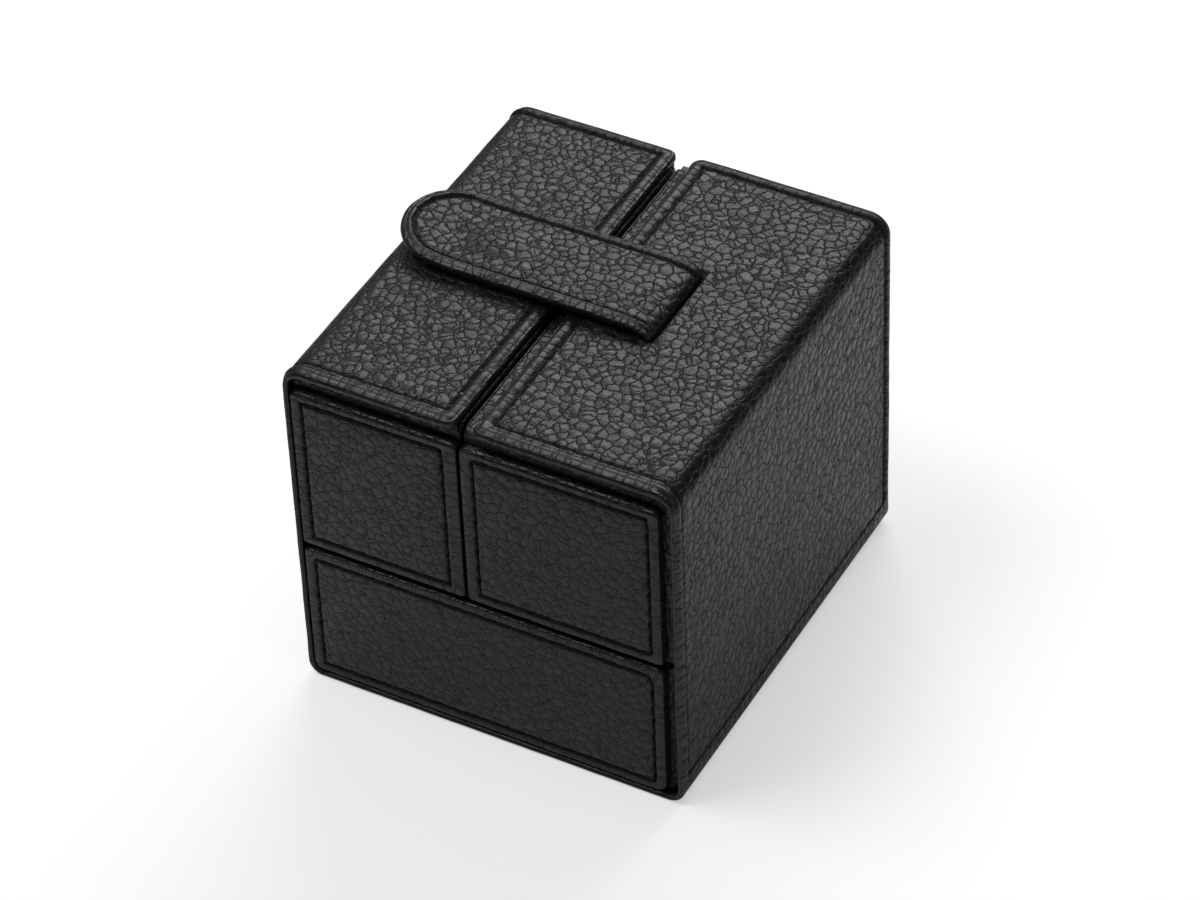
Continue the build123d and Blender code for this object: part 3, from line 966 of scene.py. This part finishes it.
def wing_hide(name):
    """One wing's hide with its seam, from the flap's edge to the bottom."""
    size = settings("wrap")
    profile = WingProfile(name)
    side = profile.side
    runs = wing_seam(profile)
    slit = Slit(profile) if name == "right" else None
    edge = size.edge_round
    rim = size.front_inset_side - edge
    outline = Outline(
        (edge, profile.end), (-half_depth + edge, half_depth - edge),
        corners=(size.flap_corner, size.flap_corner, 0, 0), turned=("s_low", "t_low", "t_high"), rim=rim,
    )
    s_marks = [0.0, size.flap_inset, profile.at_height(size.foot_height)]
    t_marks = [
        -half_depth, -half_depth + size.front_inset_side, -half_depth + size.front_inset_top,
        half_depth - size.back_inset, half_depth,
    ]
    if slit:
        s_marks += [slit.centre - 0.9 * MM, slit.centre + 0.9 * MM]
        t_marks += [slit.front, slit.back]
    s_places = seam_stations(outline.s_low, profile.fold, s_marks)
    s_places = np.concatenate([s_places, np.linspace(profile.fold, profile.end, 12)[1:]])
    t_places = seam_stations(outline.t_low, outline.t_high, t_marks)

    def relief(s, t, depth):
        waves = piece_waves(profile.place, s, t, 9 * MM, 4.0 + side)
        waves += 0.5 * piece_waves(profile.place, s, t, 4 * MM, 9.0 + side)
        calm = np.clip((profile.fold - s) / (6 * MM), 0, 1)
        height = edge_swell(depth, rim) + size.ripple * waves - size.swell
        if slit:
            height += slit.relief(s, t)
        return height * calm

    def stretch(s, t, depth):
        middle = (profile.shoulder + profile.wall) / 2
        bend = np.exp(-((s - middle) / (3.4 * MM)) ** 2)
        rim_pull = 0.6 * np.clip(1.6 - depth / rim, 0, 1)
        wall = 0.95 * np.clip((s - profile.wall) / (6 * MM), 0, 1)
        return np.clip(0.5 * bend + rim_pull - wall + 0.15 * np.exp(-(depth / MM) ** 2), -1, 1)

    piece = leather_sheet(
        name + "_wing_hide", s_places, t_places, outline, profile.place, profile.thickness,
        turned_edge(edge), relief, runs, back="strips", stretch=stretch,
        shade=slit.shade if slit else None, warp=slit.warp if slit else None, seed=0.11 * (2 + side),
    )
    dress(piece, hide(), nodes=(name + "_wing_leather", name + "_fold_leather"))
    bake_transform(piece)
    stitches(name + "_wing_stitches", runs, profile.place, name + "_wing")


def bottom_hide():
    """The flat hide under the case, between the two folds."""
    reach = half_width - fold_radius
    edge = settings("wrap").edge_round
    outline = Outline((-reach, reach), (-half_depth + edge, half_depth - edge), turned=("t_low", "t_high"))
    s_places = even_stations(-reach, reach, 1.8 * MM)
    t_places = stations(outline.t_low, outline.t_high, 1.8 * MM, 0.4 * MM, [-half_depth, half_depth], MM)
    place = flat_place((0, 0, 0), (1, 0, 0), (0, -1, 0))
    piece = leather_sheet(
        "bottom_hide", s_places, t_places, outline, place, lambda s: side_thickness,
        turned_edge(edge), lambda s, t, depth: np.zeros(s.shape), back="strips", seed=0.47,
    )
    dress(piece, hide(), "base", ("bottom_leather",))


# The padded panels

def panel_piece(node, body, seed):
    """One stitched panel, on the front or the back."""
    size = settings("panel")
    lowest, highest = (corner.copy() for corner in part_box(node))
    near = size.right_reach if node.startswith("right_") else size.lip_reach
    far = size.left_reach if node.startswith("left_") else 0.0
    lowest.x -= near
    highest.x += far
    insets = [size.inset_left + near, size.inset_right + far]
    thickness = highest.y - lowest.y
    width, height = highest.x - lowest.x, highest.z - lowest.z
    if lowest.y < 0:
        place = flat_place(lowest, (1, 0, 0), (0, 0, 1))
    else:
        place = flat_place((highest.x, highest.y, lowest.z), (-1, 0, 0), (0, 0, 1))
        insets.reverse()
    edge = size.edge_round
    lower = node.startswith("lower")
    foot, seam_corner, top_edge = size.corner, size.corner, size.top_round
    if lower:
        foot, seam_corner, top_edge = size.foot_corner, size.seam_corner, 2 * edge
    outline = Outline(
        (edge, width - edge), (edge, height - top_edge), corners=(foot, size.corner, foot, size.corner),
        rim=size.inset_left - edge, top_reach=top_edge / edge,
    )
    left, right = insets[0], width - insets[1]
    bottom, top = size.inset_bottom, height - size.inset_top
    corners = [(left, bottom), (right, bottom), (right, top), (left, top), (left, bottom)]
    runs = stitch_runs(rounded_path(corners, [0, seam_corner, 0]))
    s_places = seam_stations(edge, width - edge, [left, right])
    t_places = seam_stations(edge, height - top_edge, [bottom, top])

    def inside_seam(s, t):
        return np.minimum.reduce([s - left, right - s, t - bottom, top - t])

    def relief(s, t, depth):
        inside = inside_seam(s, t)
        pad = size.padding * (1 - np.exp(-np.maximum(inside, 0) / (3 * MM)))
        border = size.border * np.exp(-((inside + 1.4 * MM) / (0.9 * MM)) ** 2)
        return pad + border + size.ripple * piece_waves(place, s, t, 8 * MM, seed) - size.padding

    def stretch(s, t, depth):
        return 0.38 - 0.16 * np.clip(inside_seam(s, t) / MM, -1, 1)

    piece = leather_sheet(
        node.replace("_panel", "_padded_panel"), s_places, t_places, outline, place,
        lambda s: thickness, padded_edge(edge), relief, runs, stretch=stretch, seed=seed,
    )
    dress(piece, hide(), body, (node,))
    stitches(node + "_stitches", runs, place, body)


# The tab

class TabProfile:
    """The outside of the tab. S runs up out of the slit, round the bend and along to the tip."""

    def __init__(self):
        size = settings("tab")
        self.radius = size.bend_radius
        self.run = size.bend_run
        self.front, self.back = tab_front, tab_back + size.back_reach
        self.half, self.middle = (self.back - self.front) / 2, (self.back + self.front) / 2
        self.root_x = size.slit_place - 0.55 * MM
        self.root_z = case_height - size.slit_depth + 0.2 * MM
        self.rise = tab_top - self.radius - self.root_z
        self.turns = np.linspace(0, math.pi / 2, 60)
        bend = np.stack([self.run * np.cos(self.turns), self.radius * np.sin(self.turns)], -1)
        steps = np.linalg.norm(np.diff(bend, axis=0), axis=1)
        self.reached = np.concatenate([[0], np.cumsum(steps)])
        self.flat = self.rise + self.reached[-1]
        self.tip = tab_tip - size.tip_reach
        self.end = self.flat + self.root_x - self.run - self.tip
        self.curl_start, self.curl = magnet_place.x, size.tip_lift
        self.full, self.thin = size.thickness, size.root_thickness

    def lift(self, x):
        """How far the tab curls up at x, and the slope there."""
        length = self.curl_start - self.tip
        share = np.clip((self.curl_start - x) / length, 0, 1)
        return self.curl * share ** 2, 2 * self.curl * share / length

    def place(self, s, t):
        s = np.asarray(s, float)
        turn = np.interp(s - self.rise, self.reached, self.turns)
        x = self.root_x - self.run * (1 - np.cos(turn)) - np.maximum(s - self.flat, 0)
        z = self.root_z + np.minimum(s, self.rise) + self.radius * np.sin(turn)
        height, slope = self.lift(x)
        ahead_x = self.run * np.sin(turn)
        ahead_z = self.radius * np.cos(turn) + slope * ahead_x
        length = np.hypot(ahead_x, ahead_z)
        return swept_place(x, t, z + height, -ahead_x / length, ahead_z / length, -1)

    def thickness(self, s):
        share = np.clip((s - self.rise) / (self.flat - self.rise), 0, 1)
        return self.thin + (self.full - self.thin) * eased(share)

    def at_x(self, x):
        return self.flat + self.root_x - self.run - x


def tab_seam(profile, inset):
    """The seam round the tab: along one edge, round the tip and back, open at the root."""
    front, back = profile.front + inset, profile.back - inset
    radius = profile.half - inset
    turn_s = profile.at_x(profile.tip + profile.half)
    root = profile.rise + 1.0 * MM
    path = [(root, front)]
    for angle in np.linspace(-math.pi / 2, math.pi / 2, 40):
        path.append((turn_s + radius * math.cos(angle), profile.middle + radius * math.sin(angle)))
    path.append((root, back))
    return stitch_runs(np.array(path))


def tab_stiffener(profile):
    """The sheet inside the tab, curled up with it."""
    work = bmesh.new()
    work.from_mesh(frame["nodes"]["tab_core"].data)
    for x in np.arange(profile.curl_start, profile.tip, -1.5 * MM):
        shape = [*work.verts, *work.edges, *work.faces]
        bmesh.ops.bisect_plane(work, geom=shape, plane_co=(x, 0, 0), plane_no=(1, 0, 0))
    for vertex in work.verts:
        vertex.co.z += profile.lift(vertex.co.x)[0]
    mesh = bpy.data.meshes.new("tab_stiffener")
    work.to_mesh(mesh)
    work.free()
    sheet = make_material("Stiffener Sheet", plastic)
    dress(add_object("tab_stiffener", mesh), sheet, "tab", ("tab_core",))


def tab_hide():
    """The tab's hide, stitched above and below."""
    size = settings("tab")
    profile = TabProfile()
    front, back, half = profile.front, profile.back, profile.half
    runs = tab_seam(profile, size.seam_inset)
    edge = size.edge_round
    rim = size.seam_inset - edge
    outline = Outline(
        (0, profile.end - edge), (front + edge, back - edge), corners=(0, 0, half - edge, half - edge),
        turned=("s_high", "t_low", "t_high"), rim=rim,
    )
    straight_end = profile.end - half
    bend = even_stations(0, profile.flat, 0.45 * MM)
    straight = even_stations(profile.flat, straight_end, 0.7 * MM)
    tip = even_stations(straight_end, profile.end - edge, 0.28 * MM)
    s_places = np.concatenate([bend, straight[1:], tip[1:]])
    t_marks = [front, front + size.seam_inset, back - size.seam_inset, back]
    t_places = stations(outline.t_low, outline.t_high, 0.3 * MM, 0.17 * MM, t_marks, 0.8 * MM)
    centre_s = profile.at_x(magnet_place.x)

    def relief(s, t, depth):
        away = np.hypot(s - centre_s, t - magnet_place.y) / size.bump_radius
        rise = size.bump_height * np.clip(1 - away ** 2, 0, 1) ** 1.5
        crown = size.crown * (1 - ((t - profile.middle) / half) ** 2)
        waves = size.ripple * piece_waves(profile.place, s, t, 8 * MM, 21.0)
        return (edge_swell(depth, rim) + crown + rise + waves) * np.clip(s / (3 * MM), 0, 1)

    def stretch(s, t, depth):
        bend_fade = 0.45 * np.exp(-((s - profile.rise) / (2.5 * MM)) ** 2)
        return np.clip(bend_fade + 0.75 * np.exp(-(depth / (1.8 * MM)) ** 4), 0, 1)

    def under(s, t):
        point, normal, along_s, along_t = profile.place(s, t)
        return point - normal * size.thickness, normal, along_s, along_t

    piece = leather_sheet(
        "tab_hide", s_places, t_places, outline, profile.place, profile.thickness,
        turned_edge(edge, 8), relief, runs, back="grid", stretch=stretch, seed=0.83,
    )
    dress(piece, hide(), nodes=("tab_top_leather", "tab_under_leather", "tab_anchor"))
    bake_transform(piece)
    stitches("tab_stitches", runs, profile.place, "tab")
    under_runs = [run for run in runs if run[:, 0].min() > profile.flat]
    stitches("tab_under_stitches", under_runs, under, "tab", below=True)
    tab_stiffener(profile)


# Inside: bindings, covers, linings

def binding(node, body, seed):
    """The rolled leather round a tray's mouth, swept along the rim of its walls."""
    lowest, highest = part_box(node)
    size = highest - lowest
    thin = min(range(3), key=lambda axis: size[axis])
    u_axis, v_axis = [axis for axis in range(3) if axis != thin]
    foot, mouth = lowest[thin], highest[thin]
    if thin != 2 and highest[0] >= 0:
        foot, mouth = mouth, foot
    radius = 1.2 * MM
    middle = (lowest + highest) / 2
    centre = np.array([middle[u_axis], middle[v_axis]])
    half = np.array([size[u_axis], size[v_axis]]) / 2 - tray_wall_width / 2
    corners = []
    for quarter, signs in enumerate(((1, 1), (-1, 1), (-1, -1), (1, -1))):
        for k in range(5):
            angle = math.pi / 2 * (quarter + k / 4)
            way = np.array([math.cos(angle), math.sin(angle)])
            corners.append(np.array([*(centre + signs * (half - radius) + radius * way), *way]))
    path = []
    for here, ahead in zip(corners, corners[1:] + corners[:1]):
        count = max(1, round(math.dist(here[:2], ahead[:2]) / (1.5 * MM)))
        path += [here + (ahead - here) * k / count for k in range(count)]
    around = 9
    points, grains = [], []
    run = 0.0
    for k, (u, v, u_way, v_way) in enumerate(path):
        run += math.dist(path[k][:2], path[k - 1][:2]) if k else 0.0
        for angle in np.linspace(0, math.pi, around):
            across = tray_wall_width / 2 * math.cos(angle)
            point = [0.0, 0.0, 0.0]
            point[u_axis] = u + u_way * across
            point[v_axis] = v + v_way * across
            point[thin] = foot + (mouth - foot) * max(math.sin(angle), 0.0) ** 0.8
            points.append(point)
            grains.append((run, angle * tray_wall_width / 4, seed))
    piece = mesh_object(node.replace("_binding", "_rim"), points, ring_faces(len(path), around, True))
    set_attribute(piece, "grain", "FLOAT_VECTOR", grains)
    set_attribute(piece, "stretch", "FLOAT", [0.35] * len(points))
    dress(piece, hide(), body, (node,))


def dress_node(node, material, bevel=0.0):
    """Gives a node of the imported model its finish, and softens its edges."""
    piece = frame["nodes"][node]
    piece.data.materials.clear()
    piece.data.materials.append(material)
    if bevel > 0:
        weld = piece.modifiers.new("Weld", "WELD")
        weld.merge_threshold = 0.001 * MM
        rounding = piece.modifiers.new("Bevel", "BEVEL")
        rounding.width = bevel
        rounding.segments = 3
        rounding.limit_method = "ANGLE"
        rounding.angle_limit = math.radians(35)


def body_of(node):
    bodies = frame["record"]["behaviour"]["bodies"]
    return next(body for body, nodes in bodies.items() if node in nodes)


# Soft pieces

def bake(piece):
    """Puts a piece's modified shape in place of its mesh."""
    shaped = piece.evaluated_get(bpy.context.evaluated_depsgraph_get())
    mesh = bpy.data.meshes.new_from_object(shaped)
    old = piece.data
    piece.modifiers.clear()
    piece.data = mesh
    bpy.data.meshes.remove(old)
    mesh.name = piece.name
    mesh.polygons.foreach_set("use_smooth", [True] * len(mesh.polygons))


def soft_copy(node, name, shrink):
    """A mesh copy of a pad's solid, drawn in a little and remeshed evenly."""
    piece = add_object(name, frame["nodes"][node].data.copy())
    piece.data.materials.clear()
    lowest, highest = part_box(node)
    middle = (lowest + highest) / 2
    size = highest - lowest
    scale = Vector([(size[k] - 2 * shrink) / size[k] for k in range(3)])
    for vertex in piece.data.vertices:
        away = vertex.co - middle
        vertex.co = middle + Vector([away[k] * scale[k] for k in range(3)])
    remesh = piece.modifiers.new("Remesh", "REMESH")
    remesh.mode = "VOXEL"
    remesh.voxel_size = settings("soft").voxel
    bake(piece)
    return piece


def cloth_swell(piece, travel):
    """Inflates a copy of a pad as cloth, with each point held to a short travel."""
    frames = settings("soft").frames
    start = np.array([v.co for v in piece.data.vertices])
    cloth = piece.modifiers.new("Cloth", "CLOTH")
    cloth.settings.use_pressure = True
    cloth.settings.uniform_pressure_force = 4.0
    cloth.settings.mass = 0.2
    cloth.settings.tension_stiffness = 25
    cloth.settings.compression_stiffness = 25
    cloth.settings.shear_stiffness = 10
    cloth.settings.bending_stiffness = 1.5
    cloth.settings.effector_weights.gravity = 0
    cloth.collision_settings.use_collision = False
    cloth.point_cache.frame_start = 1
    cloth.point_cache.frame_end = frames
    scene = bpy.context.scene
    for step in range(1, frames + 1):
        scene.frame_set(step)
    shaped = piece.evaluated_get(bpy.context.evaluated_depsgraph_get())
    move = np.array([v.co for v in shaped.to_mesh().vertices]) - start
    shaped.to_mesh_clear()
    piece.modifiers.remove(cloth)
    scene.frame_set(1)
    length = np.maximum(np.linalg.norm(move, axis=1), 1e-9)
    capped = start + move * np.minimum(1, travel / length)[:, None]
    piece.data.vertices.foreach_set("co", capped.astype(np.float32).ravel())
    piece.data.update()


def keep_inside(piece, node, gap):
    """Holds every point of a soft piece inside its solid's box, so that it clears its neighbours."""
    lowest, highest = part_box(node)
    for vertex in piece.data.vertices:
        for k in range(3):
            vertex.co[k] = min(max(vertex.co[k], lowest[k] + gap), highest[k] - gap)


def seam_pull(piece, places, depth, width):
    """Pulls a pad's surface in along seams at those places on y."""
    middle = sum((v.co for v in piece.data.vertices), Vector()) / len(piece.data.vertices)
    for vertex in piece.data.vertices:
        pull = sum(math.exp(-((vertex.co.y - place) / width) ** 2) for place in places)
        away = Vector((vertex.co.x - middle.x, 0, vertex.co.z - middle.z))
        if away.length > 1e-6:
            vertex.co -= away.normalized() * min(pull, 1) * depth


def soft_pad(node, name, body, shrink, travel, seams):
    """A pad of suede, swollen as cloth and drawn in along its seams. Seams are places, depth and width."""
    clear = 0.02 * MM
    piece = soft_copy(node, name, shrink)
    cloth_swell(piece, travel)
    keep_inside(piece, node, clear)
    rounding = piece.modifiers.new("Subdivision", "SUBSURF")
    rounding.levels = 1
    bake(piece)
    seam_pull(piece, *seams)
    keep_inside(piece, node, clear)
    finish = make_material("Cushion Suede", suede, (0.05, 0.05, 0.053), 0.22 * MM)
    dress(piece, finish, body, (node,))
    return piece


def tube(name, path, radius, around=8):
    """A round cord along a closed path of points."""
    points, strands = [], []
    run = 0.0
    for k, here in enumerate(path):
        ahead, behind = path[(k + 1) % len(path)], path[k - 1]
        run += (here - behind).length if k else 0.0
        way = (ahead - behind).normalized()
        up = Vector((0, 1, 0)) if abs(way.y) < 0.9 else Vector((0, 0, 1))
        across = way.cross(up).normalized()
        up = across.cross(way)
        for m in range(around):
            angle = 2 * math.pi * m / around
            points.append(here + radius * (math.cos(angle) * across + math.sin(angle) * up))
            strands.append((run, angle, 0))
    piece = mesh_object(name, points, ring_faces(len(path), around, True))
    set_attribute(piece, "strand", "FLOAT_VECTOR", strands)
    return piece


def watch_cushion(node, body):
    """A suede cushion that a watch is strapped round, with a piped seam near each end."""
    soft = settings("soft")
    name = node.replace("_watch_cushion", "_cushion_suede")
    lowest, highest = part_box(node)
    seam_y = (lowest.y + soft.seam_inset, highest.y - soft.seam_inset)
    seams = (seam_y, 0.7 * MM, 0.9 * MM)
    piece = soft_pad(node, name, body, soft.shrink, soft.travel, seams)
    surface = BVHTree.FromPolygons(
        [v.co for v in piece.data.vertices], [p.vertices for p in piece.data.polygons],
    )
    middle = (lowest + highest) / 2
    piping_finish = make_material("Piping Suede", suede, (0.035, 0.035, 0.037), 0.15 * MM)
    for number, y in enumerate(seam_y):
        path = []
        for k in range(72):
            angle = 2 * math.pi * k / 72
            way = Vector((math.cos(angle), 0, math.sin(angle)))
            hit = surface.ray_cast(Vector((middle.x, y, middle.z)) + way * 60 * MM, -way)
            path.append(hit[0] - way * soft.piping * 0.28)
        cord = tube(name + "_piping_" + str(number + 1), path, soft.piping / 2)
        dress(cord, piping_finish, body)


def well_pad():
    """The thin pad on the floor of the accessory well, with two sewn channels."""
    soft = settings("soft")
    node = "accessory_well_pad"
    lowest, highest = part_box(node)
    third = (highest.y - lowest.y) / 3
    seams = ((lowest.y + third, highest.y - third), 0.9 * MM, 1.1 * MM)
    soft_pad(node, "well_pad_suede", "base", soft.pad_shrink, soft.pad_travel, seams)


# The stage

def area_light(name, location, aim, size, power):
    light = bpy.data.lights.new(name, "AREA")
    light.shape = "RECTANGLE"
    light.size, light.size_y = size
    light.energy = power
    holder = add_object(name, light)
    holder.location = location
    holder.rotation_euler = (Vector(aim) - Vector(location)).to_track_quat("-Z", "Y").to_euler()


def light_rays(graph):
    """Whether a ray is glossy, and whether it comes from the camera, directly or through glass."""
    rays = graph.add("ShaderNodeLightPath")
    return rays["Is Glossy Ray"], graph.math("MAXIMUM", rays["Is Camera Ray"], rays["Is Transmission Ray"])


def floor():
    """A wide pale floor. The camera sees it white, and it keeps the case's shadow."""
    reach = 3.0
    mesh = bpy.data.meshes.new("floor")
    corners = [(-reach, -reach, 0), (reach, -reach, 0), (reach, reach, 0), (-reach, reach, 0)]
    mesh.from_pydata(corners, [], [(0, 1, 2, 3)])
    piece = add_object("floor", mesh)
    piece.location.z = -0.02 * MM
    material = bpy.data.materials.new("Studio Floor")
    graph = cleared(material)
    glossy, seen = light_rays(graph)
    near = graph.ramp(graph.measure("LENGTH", graph.place()), 0.2, 0.38, 1.0, 0.12)
    behind = graph.ramp(graph.part(graph.place(), 1), -0.04, 0.06, 0.12, 0.35)
    white = graph.times(graph.ramp(glossy, 0.0, 1.0, 1.0, near, kind="LINEAR"), 0.86)
    colour = graph.add("ShaderNodeCombineColor", {0: white, 1: white, 2: white})
    paint = graph.add("ShaderNodeBsdfDiffuse", {"Color": colour[0]})
    shine = graph.times(glossy, graph.times(near, behind))
    level = graph.times(graph.math("MAXIMUM", seen, shine), settings("stage").floor_glow)
    glow = graph.add("ShaderNodeEmission", {"Color": (1, 1, 1, 1), "Strength": level})
    total = graph.add("ShaderNodeAddShader", {0: paint[0], 1: glow[0]})
    graph.add("ShaderNodeOutputMaterial", {"Surface": total[0]})
    mesh.materials.append(material)


def room_light():
    """A plain room. The camera sees it white, and so do glossy things on the lit side, behind on the left."""
    stage = settings("stage")
    world = bpy.data.worlds.new("Studio Room")
    bpy.context.scene.world = world
    graph = cleared(world)
    glossy, seen = light_rays(graph)
    toward = graph.add("ShaderNodeTexCoord")["Generated"]
    facing = graph.measure("DOT_PRODUCT", toward, Vector(stage.lit_way).normalized())
    shine = graph.times(glossy, graph.ramp(facing, 0.4, 0.95, 0.03, stage.lit_level))
    even = graph.times(graph.math("SUBTRACT", 1.0, glossy), stage.ambient)
    level = graph.math("MAXIMUM", graph.math("MAXIMUM", seen, shine), even)
    shade = graph.add("ShaderNodeBackground", {"Color": (1, 1, 1, 1), "Strength": level})
    graph.add("ShaderNodeOutputWorld", {"Surface": shade[0]})


def camera():
    stage = settings("stage")
    away = Vector((
        math.sin(stage.azimuth) * math.cos(stage.elevation),
        -math.cos(stage.azimuth) * math.cos(stage.elevation),
        math.sin(stage.elevation),
    ))
    data = bpy.data.cameras.new("Camera")
    data.lens = stage.lens
    data.sensor_width = 36.0
    data.clip_start = 0.05
    holder = add_object("Camera", data)
    holder.location = Vector(stage.target) + away * stage.distance
    aim = (-away).to_track_quat("-Z", "Y").to_matrix()
    holder.rotation_euler = (aim @ Matrix.Rotation(stage.roll, 3, "Z")).to_euler()
    bpy.context.scene.camera = holder


# Operators

class PieceOperator(bpy.types.Operator):
    """Base of the operators that make the case's pieces"""

    bl_options = {"REGISTER", "UNDO"}

    def execute(self, context):
        self.make()
        return {"FINISHED"}


class TRAVELCASE_OT_stage(PieceOperator):
    """Camera, lamps, room and floor"""

    bl_idname = "travelcase.stage"
    bl_label = "Stage"

    def make(self):
        stage = settings("stage")
        camera()
        floor()
        room_light()
        area_light("back_softbox", (-0.14, 0.92, 0.86), (0, 0, 0.06), (1.1, 0.6), stage.back_light)
        area_light("top_softbox", (-0.36, -0.22, 1.0), (0, 0, 0.06), (0.5, 0.5), stage.top_light)
        area_light("fill_softbox", (1.2, -0.35, 0.62), (0, 0, 0.05), (0.6, 0.6), stage.fill_light)


class TRAVELCASE_OT_wings(PieceOperator):
    """The hides of the two wings with their seams, and the hide under the case"""

    bl_idname = "travelcase.wings"
    bl_label = "Wings"

    def make(self):
        for name in sides:
            wing_hide(name)
        bottom_hide()


class TRAVELCASE_OT_panels(PieceOperator):
    """The six stitched panels on the front and the back"""

    bl_idname = "travelcase.panels"
    bl_label = "Panels"

    def make(self):
        nodes = [node for node in sorted(frame["nodes"]) if node.endswith("_panel")]
        for number, node in enumerate(nodes):
            panel_piece(node, body_of(node), 1.3 + number)


class TRAVELCASE_OT_tab(PieceOperator):
    """The tab's hide, its two seams and its stiffener"""

    bl_idname = "travelcase.tab"
    bl_label = "Tab"

    def make(self):
        tab_hide()


class TRAVELCASE_OT_trays(PieceOperator):
    """Rims, covers, linings and the hidden boards of the three trays"""

    bl_idname = "travelcase.trays"
    bl_label = "Trays"

    def make(self):
        plain_leather = make_material("Thin Black Leather", leather, False)
        lining = make_material("Lining Suede", suede, (0.03, 0.03, 0.032), 0.18 * MM)
        for number, node in enumerate(sorted(frame["nodes"])):
            if node.endswith("_binding"):
                binding(node, body_of(node), 2.0 + number)
            elif node.endswith(("_shell", "_cover")):
                dress_node(node, plain_leather, 0.15 * MM)
            elif node.endswith("_lining"):
                dress_node(node, lining)
            elif node == "tray_divider":
                dress_node(node, lining, 0.35 * MM)
            elif node.endswith("_board"):
                dress_node(node, make_material("Grey Board", board))
            elif node.endswith("_magnet"):
                dress_node(node, make_material("Magnet Nickel", nickel), 0.2 * MM)


class TRAVELCASE_OT_cushions(PieceOperator):
    """The watch cushions and the well's pad, swollen as cloth"""

    bl_idname = "travelcase.cushions"
    bl_label = "Cushions"

    def make(self):
        for node in sorted(frame["nodes"]):
            if node.endswith("_watch_cushion"):
                watch_cushion(node, body_of(node))
        well_pad()


class TRAVELCASE_PT_pieces(bpy.types.Panel):
    """Lists the pieces of the case"""

    bl_idname = "TRAVELCASE_PT_pieces"
    bl_label = "Travel Case"
    bl_space_type = "VIEW_3D"
    bl_region_type = "UI"
    bl_category = "Travel Case"

    def draw(self, context):
        for operator in operators:
            self.layout.operator(operator.bl_idname)


operators = [
    TRAVELCASE_OT_stage,
    TRAVELCASE_OT_wings,
    TRAVELCASE_OT_panels,
    TRAVELCASE_OT_tab,
    TRAVELCASE_OT_trays,
    TRAVELCASE_OT_cushions,
]


def register():
    for name, group in setting_groups.items():
        bpy.utils.register_class(group)
        setattr(bpy.types.Scene, "travel_case_" + name, PointerProperty(type=group))
    for item in operators + [TRAVELCASE_PT_pieces]:
        bpy.utils.register_class(item)


def unregister():
    for item in reversed(operators + [TRAVELCASE_PT_pieces]):
        bpy.utils.unregister_class(item)
    for name, group in setting_groups.items():
        delattr(bpy.types.Scene, "travel_case_" + name)
        bpy.utils.unregister_class(group)


def main():
    register()
    bpy.context.scene.view_settings.view_transform = "Standard"
    bpy.ops.travelcase.stage()
    bpy.ops.travelcase.wings()
    bpy.ops.travelcase.panels()
    bpy.ops.travelcase.tab()
    bpy.ops.travelcase.trays()
    bpy.ops.travelcase.cushions()


if __name__ == "__main__":
    main()
